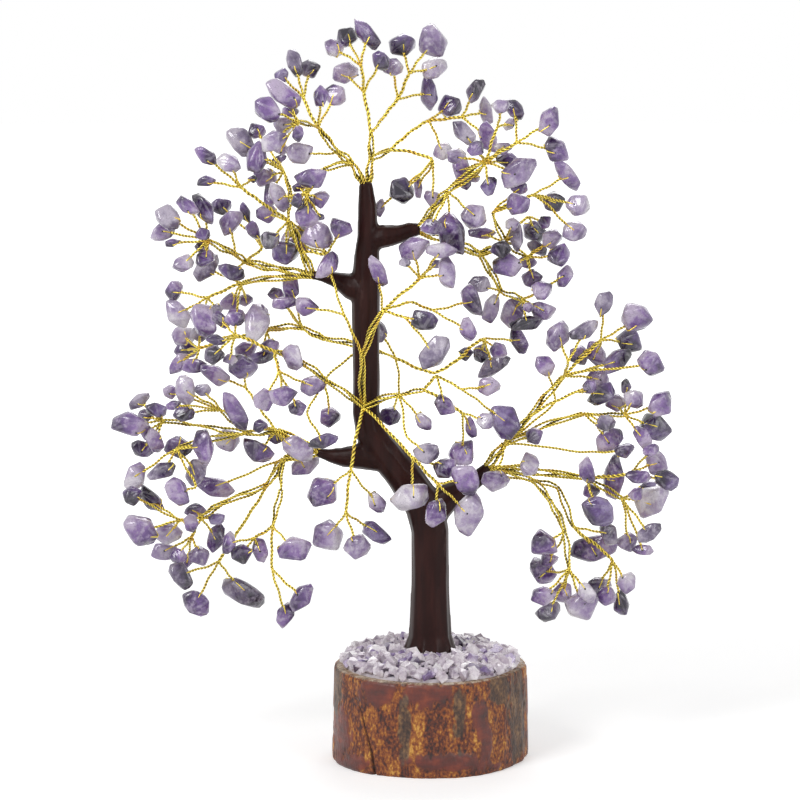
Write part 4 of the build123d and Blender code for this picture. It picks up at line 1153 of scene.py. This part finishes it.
@dataclass
class Bough:
    """One bendable bough: twisted wire that forks to its chips, each threaded on a loop."""

    name: str
    anchor: Points
    inward: Points
    nodes: dict[str, Object]
    finishes: dict[Tone, Material]
    brass: Material
    seed: int
    stone_seed: int = 100
    stem_sides: int = 4
    twig_sides: int = 3
    stem_radius: float = 0.6
    growth: float = 1.06
    dent: float = 0.34
    dent_cell: float = 2.4
    zone_lean: float = 1.5
    zone_spread: float = 0.85
    zone_starts: Span = (0.15, 0.85)
    loop_steps: int = 9
    loop_share: float = 0.85
    loop_shade: float = 0.1
    loop_dip: float = 2.6
    loop_dip_power: int = 6
    hole_lean: float = 0.3
    hole_share: float = 1.7
    rim_heights: Vector = (-0.3, 0.0, 0.1)
    rim_sides: int = 8
    rim_askew: float = 0.1
    strands: Strands = Strands()

    def build(self) -> None:
        """Makes the bough's stones, stems and twigs."""
        tree = WireTree(self.anchor, self.inward)
        tree.read(self.nodes[f"{self.name}_stems"], self.stem_sides)
        tree.read(self.nodes[f"{self.name}_twigs"], self.twig_sides)
        stems, twigs = Gathered(), Gathered()
        for run in tree.runs(self.seed):
            self.strands.add(run, stems if run.radius > self.stem_radius else twigs)
        random = np.random.default_rng(self.seed + self.stone_seed)
        for tone in Tone:
            node = self.nodes.get(f"{self.name}_gems_{tone.value}")
            if node is None:
                continue
            stones = Gathered()
            for triangles in node_solids(node):
                chip = Chip.from_solid(triangles, self.growth)
                self._add_stone(chip, stones, random)
                self._add_loop(chip, tree.free_ends, twigs, stones)
            piece = stones.piece(f"{self.name}_stones_{tone.value}", self.finishes[tone], self.name)
            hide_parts(node.name)
        for label, gathered in (("stems", stems), ("twigs", twigs)):
            piece = gathered.piece(f"{self.name}_{label}_twist", self.brass, self.name)
            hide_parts(f"{self.name}_{label}")

    def _add_stone(self, chip: Chip, into: Gathered, random: Random) -> None:
        """Adds a chip's worn surface, dented by noise, with its colour zone along a random way.

        Args:
            chip: The chip.
            into: Where the stones of its tone are gathered.
            random: What its zone and tint are drawn from.
        """
        points, faces, edge = chip.surface()
        offset = points - chip.centre
        dents = self.dent * (Cloud((self.dent_cell,) * 3, self.seed).at(points) - 0.5)
        points = points + unit(offset) * dents[:, None]
        chance = random.normal(size=3)
        zone_way = unit(chance + chip.axes[0] * random.choice([-self.zone_lean, self.zone_lean]))
        reach = np.abs(offset @ chip.axes[0]).max()
        zone = offset @ zone_way / reach * self.zone_spread + random.uniform(*self.zone_starts)
        into.add(points, faces, zone=zone, tint=random.uniform(), hole=0.0, edge=edge)

    def _add_loop(self, chip: Chip, ends: list[Points], wires: Gathered, stones: Gathered) -> None:
        """Adds the two legs that run from a twig's end over the chip into its hole, and dark buttons painted
        as the holes' shade.

        Args:
            chip: The threaded chip.
            ends: The free ends of the bough's twigs.
            wires: Where the legs are gathered.
            stones: Where the painted hole shades are gathered.
        """
        end = min(ends, key=lambda e: float(np.linalg.norm(e - chip.centre)))
        inward = unit(end - chip.centre)
        thin = unit(chip.axes[2] - (chip.axes[2] @ inward) * inward)
        shares = np.linspace(0, 1, self.loop_steps)[:, None]
        gauge = self.strands.radius * self.loop_share
        for face in (thin, -thin):
            hole = unit(face + self.hole_lean * inward)
            swing = math.acos(float(np.clip(inward @ hole, -1, 1)))
            ways = (np.sin((1 - shares) * swing) * inward + np.sin(shares * swing) * hole) / math.sin(swing)
            lift = gauge * (1 - self.loop_dip * shares**self.loop_dip_power)
            line = chip.centre + ways * (chip.radius(ways)[:, None] + lift)
            line = line + (end - line[0]) * (1 - shares) ** 2
            points, faces = tube(line, gauge, self.strands.sides, np.cross(inward, hole))
            # painted shade: a faint even crease shade on each loop leg
            wires.add(points, faces, crease=self.loop_shade)
            self._add_hole_shade(chip, hole, gauge * self.hole_share, stones)

    def _add_hole_shade(self, chip: Chip, way: Points, radius: float, into: Gathered) -> None:
        """Adds painted shade at the mouth of a drilled hole: a dark flat-topped button that stands barely
        proud of the chip.

        Args:
            chip: The drilled chip.
            way: The way from its centre to the hole.
            radius: The hole's radius.
            into: Where the stones are gathered.
        """
        normal = chip.normal(way)
        askew = chip.axes[0] + self.rim_askew
        line = chip.centre + way * chip.radius(way) + normal * np.array(self.rim_heights)[:, None]
        points, faces = tube(line, radius, self.rim_sides, unit(np.cross(normal, askew)))
        into.add(points, faces, zone=0.5, tint=0.5, hole=1.0, edge=0.0)


@dataclass
class Trunk:
    """The moulded trunk: the frame's faceted solid melted into a smooth body with long ridges."""

    node: Object
    finish: Material
    voxel: float = 0.6
    melt_rounds: int = 8
    melt_factor: float = 0.5
    swell: float = 0.15
    ridge_height: float = 0.7
    ridge_level: float = 0.6
    foot_ridge: float = 1.5
    foot_top: float = 56.0
    foot_fade: float = 0.7
    broad: Cloud = Cloud((4.2, 4.2, 30.0), 3)
    fine: Cloud = Cloud((2.1, 2.1, 12.0), 5)
    broad_share: float = 0.65

    def _melted(self) -> tuple[Points, Points, Faces]:
        """Melts a merged copy of the node: remeshed by voxels, then smoothed.

        Returns:
            Its points, their normals and its four-cornered faces.
        """
        corners, faces = merged(node_triangles(self.node), 3)
        mesh = bpy.data.meshes.new("trunk_copy")
        mesh.from_pydata((corners * MM).tolist(), [], faces.tolist())
        copy = placed("trunk_copy", mesh)
        remesh = copy.modifiers.new("melt", "REMESH")
        remesh.mode = "VOXEL"
        remesh.voxel_size = self.voxel * MM
        soften = copy.modifiers.new("soften", "SMOOTH")
        soften.factor = self.melt_factor
        soften.iterations = self.melt_rounds
        seen = copy.evaluated_get(bpy.context.evaluated_depsgraph_get())
        melted = seen.to_mesh()
        points = values_of(melted.vertices, "co", 3) / MM
        normals = values_of(melted.vertex_normals, "vector", 3)
        quads = values_of(melted.loops, "vertex_index", 1, np.int32).reshape(-1, 4).astype(np.int64)
        seen.to_mesh_clear()
        bpy.data.objects.remove(copy)
        return points, normals, quads

    def build(self) -> None:
        """Moves the points of the melted body along their normals by stretched noise, most at the foot."""
        points, normals, quads = self._melted()
        ridge = self.broad.at(points) * self.broad_share + self.fine.at(points) * (1 - self.broad_share)
        low = 1 - eased(self.foot_top * self.foot_fade, self.foot_top, points[:, 2])
        height = self.ridge_height + (self.foot_ridge - self.ridge_height) * low
        moved = points + normals * (self.swell + (ridge - self.ridge_level) * height)[:, None]
        gathered = Gathered()
        gathered.add(moved, [quads], ridge=ridge)
        piece = gathered.piece("trunk_skin", self.finish, "base")
        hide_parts("trunk")


@dataclass
class WoodSlice:
    """The slice of branch: bark round its wall, worn by noise and split once, and a sawn face above.

    A patch of bark that the photograph shows is given by the column and row of its middle there, and by its
    half width and half height, all in pixels.
    """

    node: Object
    finish: Material
    view: PhotoView
    turns: int = 640
    levels: int = 76
    rim_rings: int = 10
    innermost: float = 0.02
    outline_share: float = 0.75
    bearing_digits: int = 2
    relief: float = 1.1
    relief_share: float = 0.45
    coarse: Cloud = Cloud((5.0, 5.0, 16.0), 11)
    fine: Cloud = Cloud((1.6, 1.6, 3.4), 12)
    coarse_share: float = 0.6
    skin_smooth: float = 0.85
    dead_depth: float = 0.35
    edge_depth: float = 0.7
    edge_band: float = 0.03
    sawn_band: float = 0.015
    sawn_level: float = 0.5
    sawn_low: float = 0.3
    sawn_high: float = 0.9
    side_fade: Span = (-6.0, 2.0)
    ragged: tuple[Cloud, Cloud] = (Cloud((1.2, 1.2, 2.4), 21), Cloud((3.4, 3.4, 7.0), 22))
    raggedness: float = 0.8
    patch_edge: Span = (0.6, 1.3)
    far_edge: float = 0.08
    far_skin: tuple[Cloud, float] = (Cloud((9.0, 9.0, 14.0), 31), 0.6)
    far_dead: tuple[Cloud, float] = (Cloud((4.0, 4.0, 26.0), 32), 0.62)
    split_depth: float = 1.6
    split_half_px: float = 1.1
    split_edge: Span = (0.4, 1.0)
    split_top: float = 0.5
    split_px: tuple[Span, ...] = ((355, 696), (361, 712), (366, 735), (371, 752), (374, 772))
    skin_px: tuple[tuple[float, ...], ...] = (
        (379, 692, 17, 15), (426, 693, 27, 14), (343, 734, 9, 27), (452, 763, 44, 9),
        (487, 740, 7, 22), (352, 764, 20, 8), (480, 722, 9, 26),
    )
    dead_px: tuple[tuple[float, ...], ...] = (
        (404, 728, 7.5, 31), (459, 717, 7, 35), (500, 690, 9, 17), (519, 712, 9, 50), (337, 690, 4, 26),
    )

    def _outline(self, angles: Points, low: bool) -> Points:
        """The radius of the frame's slice, as the widest corner at each bearing, and straight between them.

        Args:
            angles: The bearings.
            low: Whether the lower edge is read, or else the upper.

        Returns:
            The radius at each angle.
        """
        corners = merged(node_triangles(self.node))[0]
        reach = np.linalg.norm(corners[:, :2], axis=1)
        middle = corners[:, 2].max() / 2
        rim = corners[(reach > self.outline_share * reach.max()) & ((corners[:, 2] < middle) == low)]
        reach = np.linalg.norm(rim[:, :2], axis=1)
        sector = np.round(np.arctan2(rim[:, 1], rim[:, 0]), self.bearing_digits)
        names = np.unique(sector)
        widest = np.array([reach[sector == name].max() for name in names])
        return np.interp(angles, names, widest, period=WHOLE_TURN)

    def build(self) -> None:
        """Makes the slice: the wall's radius is the frame's less the relief, and flat faces close it."""
        angles = np.arange(self.turns) * WHOLE_TURN / self.turns
        round_way = np.stack([np.cos(angles), np.sin(angles)], axis=-1)
        top = float(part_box(self.node.name)[1].z) / MM
        shares = np.linspace(0, 1, self.levels)
        low, high = self._outline(angles, True), self._outline(angles, False)
        radius = low + (high - low) * shares[:, None]
        heights = np.broadcast_to(top * shares[:, None], radius.shape)[..., None]
        wall = np.concatenate([radius[..., None] * round_way, heights], axis=-1)
        kinds = self._kinds(wall)
        fine = self.fine.at(wall)
        rough = (1 - kinds["skin"] * self.skin_smooth) * self.relief
        wear = rough * (self.coarse_share * self.coarse.at(wall) + (1 - self.coarse_share) * fine)
        wear = wear + self.dead_depth * kinds["dead"] + self.split_depth * kinds["split"]
        ends = eased(1 - self.edge_band, 1.0, shares) + 1 - eased(0.0, self.edge_band, shares)
        radius = radius + self.relief_share * self.relief - wear - self.edge_depth * ends[:, None]
        wall = np.concatenate([radius[..., None] * round_way, heights], axis=-1)
        inner = np.linspace(1, self.innermost, self.rim_rings)[1:, None, None]
        upper = wall[-1] * np.concatenate([inner, inner, np.ones_like(inner)], axis=-1)
        rows = np.concatenate([upper[::-1] * np.array([1, 1, 0]), wall, upper])
        here = np.arange(self.turns)
        walls = ring_walls(len(rows), self.turns)[:, [0, 3, 2, 1]]
        caps = np.stack([here[::-1], (len(rows) - 1) * self.turns + here])
        blank = np.zeros(upper.shape[:2])
        values = {name: np.concatenate([blank, mask, blank]).ravel() for name, mask in kinds.items()}
        torn = np.where(fine > self.sawn_level, self.sawn_high, self.sawn_low)
        rim = eased(1 - self.sawn_band, 1.0, shares)[:, None] * torn
        sawn = np.concatenate([blank + 1, rim, blank + 1]).ravel()
        gathered = Gathered()
        gathered.add(rows.reshape(-1, 3), [walls, caps], sawn=sawn, **values)
        piece = gathered.piece("slice_bark", self.finish, "base")
        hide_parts("wood_slice")

    def _kinds(self, wall: Points) -> dict[str, Points]:
        """How far each point is smooth skin, dead bark or in the split.

        On the side that the photograph shows, a patch is one inside its half sizes and fades over its ragged
        edge, and on the far side noise lays the patches.

        Args:
            wall: The points of the wall, by level and angle.

        Returns:
            For each kind, a value from 0 to 1 at each point.
        """
        column, row = self.view.pixels(wall)
        ragged = (self.ragged[0].at(wall) + self.ragged[1].at(wall) - 1) * self.raggedness
        near = 1 - eased(*self.side_fade, wall[..., 1])
        kinds = {"skin": (self.skin_px, *self.far_skin), "dead": (self.dead_px, *self.far_dead)}
        masks = {}
        for kind, (patches, noise, level) in kinds.items():
            mask = eased(level, level + self.far_edge, noise.at(wall)) * (1 - near)
            for middle_column, middle_row, half_width, half_height in patches:
                across, down = (column - middle_column) / half_width, (row - middle_row) / half_height
                spread = np.sqrt(across**2 + down**2) + ragged
                mask = np.maximum(mask, (1 - eased(*self.patch_edge, spread)) * near)
            masks[kind] = mask
        columns, rows = np.array(self.split_px).T
        off = np.abs(column - np.interp(row, rows, columns))
        wide = self.split_half_px * (self.split_top + eased(rows[0], rows[-1], row))
        masks["split"] = (1 - eased(*self.split_edge, off / wide)) * (row > rows[0]) * near
        return masks


@dataclass
class Gravel:
    """Quartz grit heaped on the glue bed: angular shards thrown over a low mound, sorted by tone."""

    shapes: list[Chip]
    finishes: dict[Tone, Material]
    bed_top: float
    seed: int = 77
    disc: float = 33.4
    brim: float = 0.8
    mound: float = 2.7
    mound_power: int = 3
    loose: float = 1.1
    lift: float = 0.25
    heap_power: float = 0.8
    trunk_reach: float = 8.2
    count: int = 760
    least: float = 1.5
    most: float = 3.6
    size_power: float = 1.4
    size_inside: float = 0.7
    shake: float = 0.05
    slim: Vector = (1.0, 0.78, 0.55)
    zones: Span = (0.1, 0.9)
    nodes: tuple[tuple[Tone, str, float], ...] = (
        (Tone.PALE, "gravel_pale", 0.87),
        (Tone.VIOLET, "gravel_violet", 0.09),
        (Tone.DEEP, "gravel_dark", 0.04),
    )

    def build(self) -> None:
        """Throws the shards in a shaken sunflower pattern, with more small ones than large."""
        random = np.random.default_rng(self.seed)
        golden = math.pi * (3 - math.sqrt(5))
        gathered = {tone: Gathered() for tone, _, _ in self.nodes}
        odds = [share for _, _, share in self.nodes]
        for index in range(self.count):
            reach = self.disc * math.sqrt((index + 0.5) / self.count)
            size = self.least + (self.most - self.least) * random.uniform() ** self.size_power
            reach = min(reach, self.disc + self.brim - size * self.size_inside)
            if reach < self.trunk_reach:
                continue
            turn = index * golden + random.normal(0, self.shake)
            rise = self.mound * (1 - (reach / self.disc) ** self.mound_power) + self.loose
            height = self.bed_top + size * self.lift + random.uniform(0, 1) ** self.heap_power * rise
            centre = np.array([reach * math.cos(turn), reach * math.sin(turn), height])
            tone = self.nodes[random.choice(len(odds), p=odds)][0]
            self._add_shard(centre, size, gathered[tone], random)
        for tone, node, _ in self.nodes:
            piece = gathered[tone].piece(f"{node}_bits", self.finishes[tone], "base", smooth=False)
            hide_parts(node)

    def _add_shard(self, centre: Points, size: float, into: Gathered, random: Random) -> None:
        """Adds one shard: the flat faces of one of the shapes, brought to one length and turned at random.

        Args:
            centre: The middle of the shard.
            size: Half its length.
            into: Where the shards of its tone are gathered.
            random: What the shape and the turn are drawn from.
        """
        shape = self.shapes[random.integers(len(self.shapes))]
        local = (shape.corners - shape.centre) @ shape.axes.T
        local = local / np.abs(local).max(axis=0) * np.array(self.slim) * size
        turned = np.linalg.qr(random.normal(size=(3, 3)))[0]
        turned = turned * np.sign(np.linalg.det(turned) * np.linalg.det(shape.axes))
        zone, tint = random.uniform(*self.zones), random.uniform()
        into.add(centre + local @ turned, [shape.faces], zone=zone, tint=tint, hole=0.0, edge=0.0)


def dress(node: Object, material: Material) -> None:
    """Gives a frame node that no new piece replaces its finish."""
    for place in node.material_slots:
        place.material = material


def main() -> None:
    """Builds the scene: the camera first, then the tree from its foot up."""
    logging.basicConfig(level=logging.INFO, format="%(message)s")
    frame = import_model()
    view = PhotoView()
    view.build()
    Studio().build()
    nodes = frame["nodes"]
    stones = {tone: finish.make() for tone, finish in STONES.items()}
    gravel = {tone: finish.make() for tone, finish in GRAVEL.items()}
    brass = BrassFinish().make()
    WoodSlice(nodes["wood_slice"], BarkFinish().make(), view).build()
    dress(nodes["glue_bed"], PlainFinish("clear_glue", "c6bfcc", "e2dde4", 0.35).make())
    dress(nodes["trunk_core"], PlainFinish("core_wire", "8b8b90", "6e6e73", 0.4, 0.9).make())
    shapes = [Chip.from_solid(solid) for solid in node_solids(nodes["lower_left_gems_violet"])]
    Gravel(shapes, gravel, float(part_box("glue_bed")[1].z) / MM).build()
    Trunk(nodes["trunk"], ResinFinish().make()).build()
    trunk = merged(node_triangles(nodes["trunk"]))[0]
    corners_beside = 12
    for seed, joint in enumerate(frame["joints"], 1):
        anchor = np.array(joint["pos_m"]) / MM
        beside = trunk[np.argsort(np.linalg.norm(trunk - anchor, axis=1))[:corners_beside]]
        Bough(joint["child"], anchor, unit(beside.mean(axis=0) - anchor), nodes, stones, brass, seed).build()


if __name__ == "__main__":
    main()
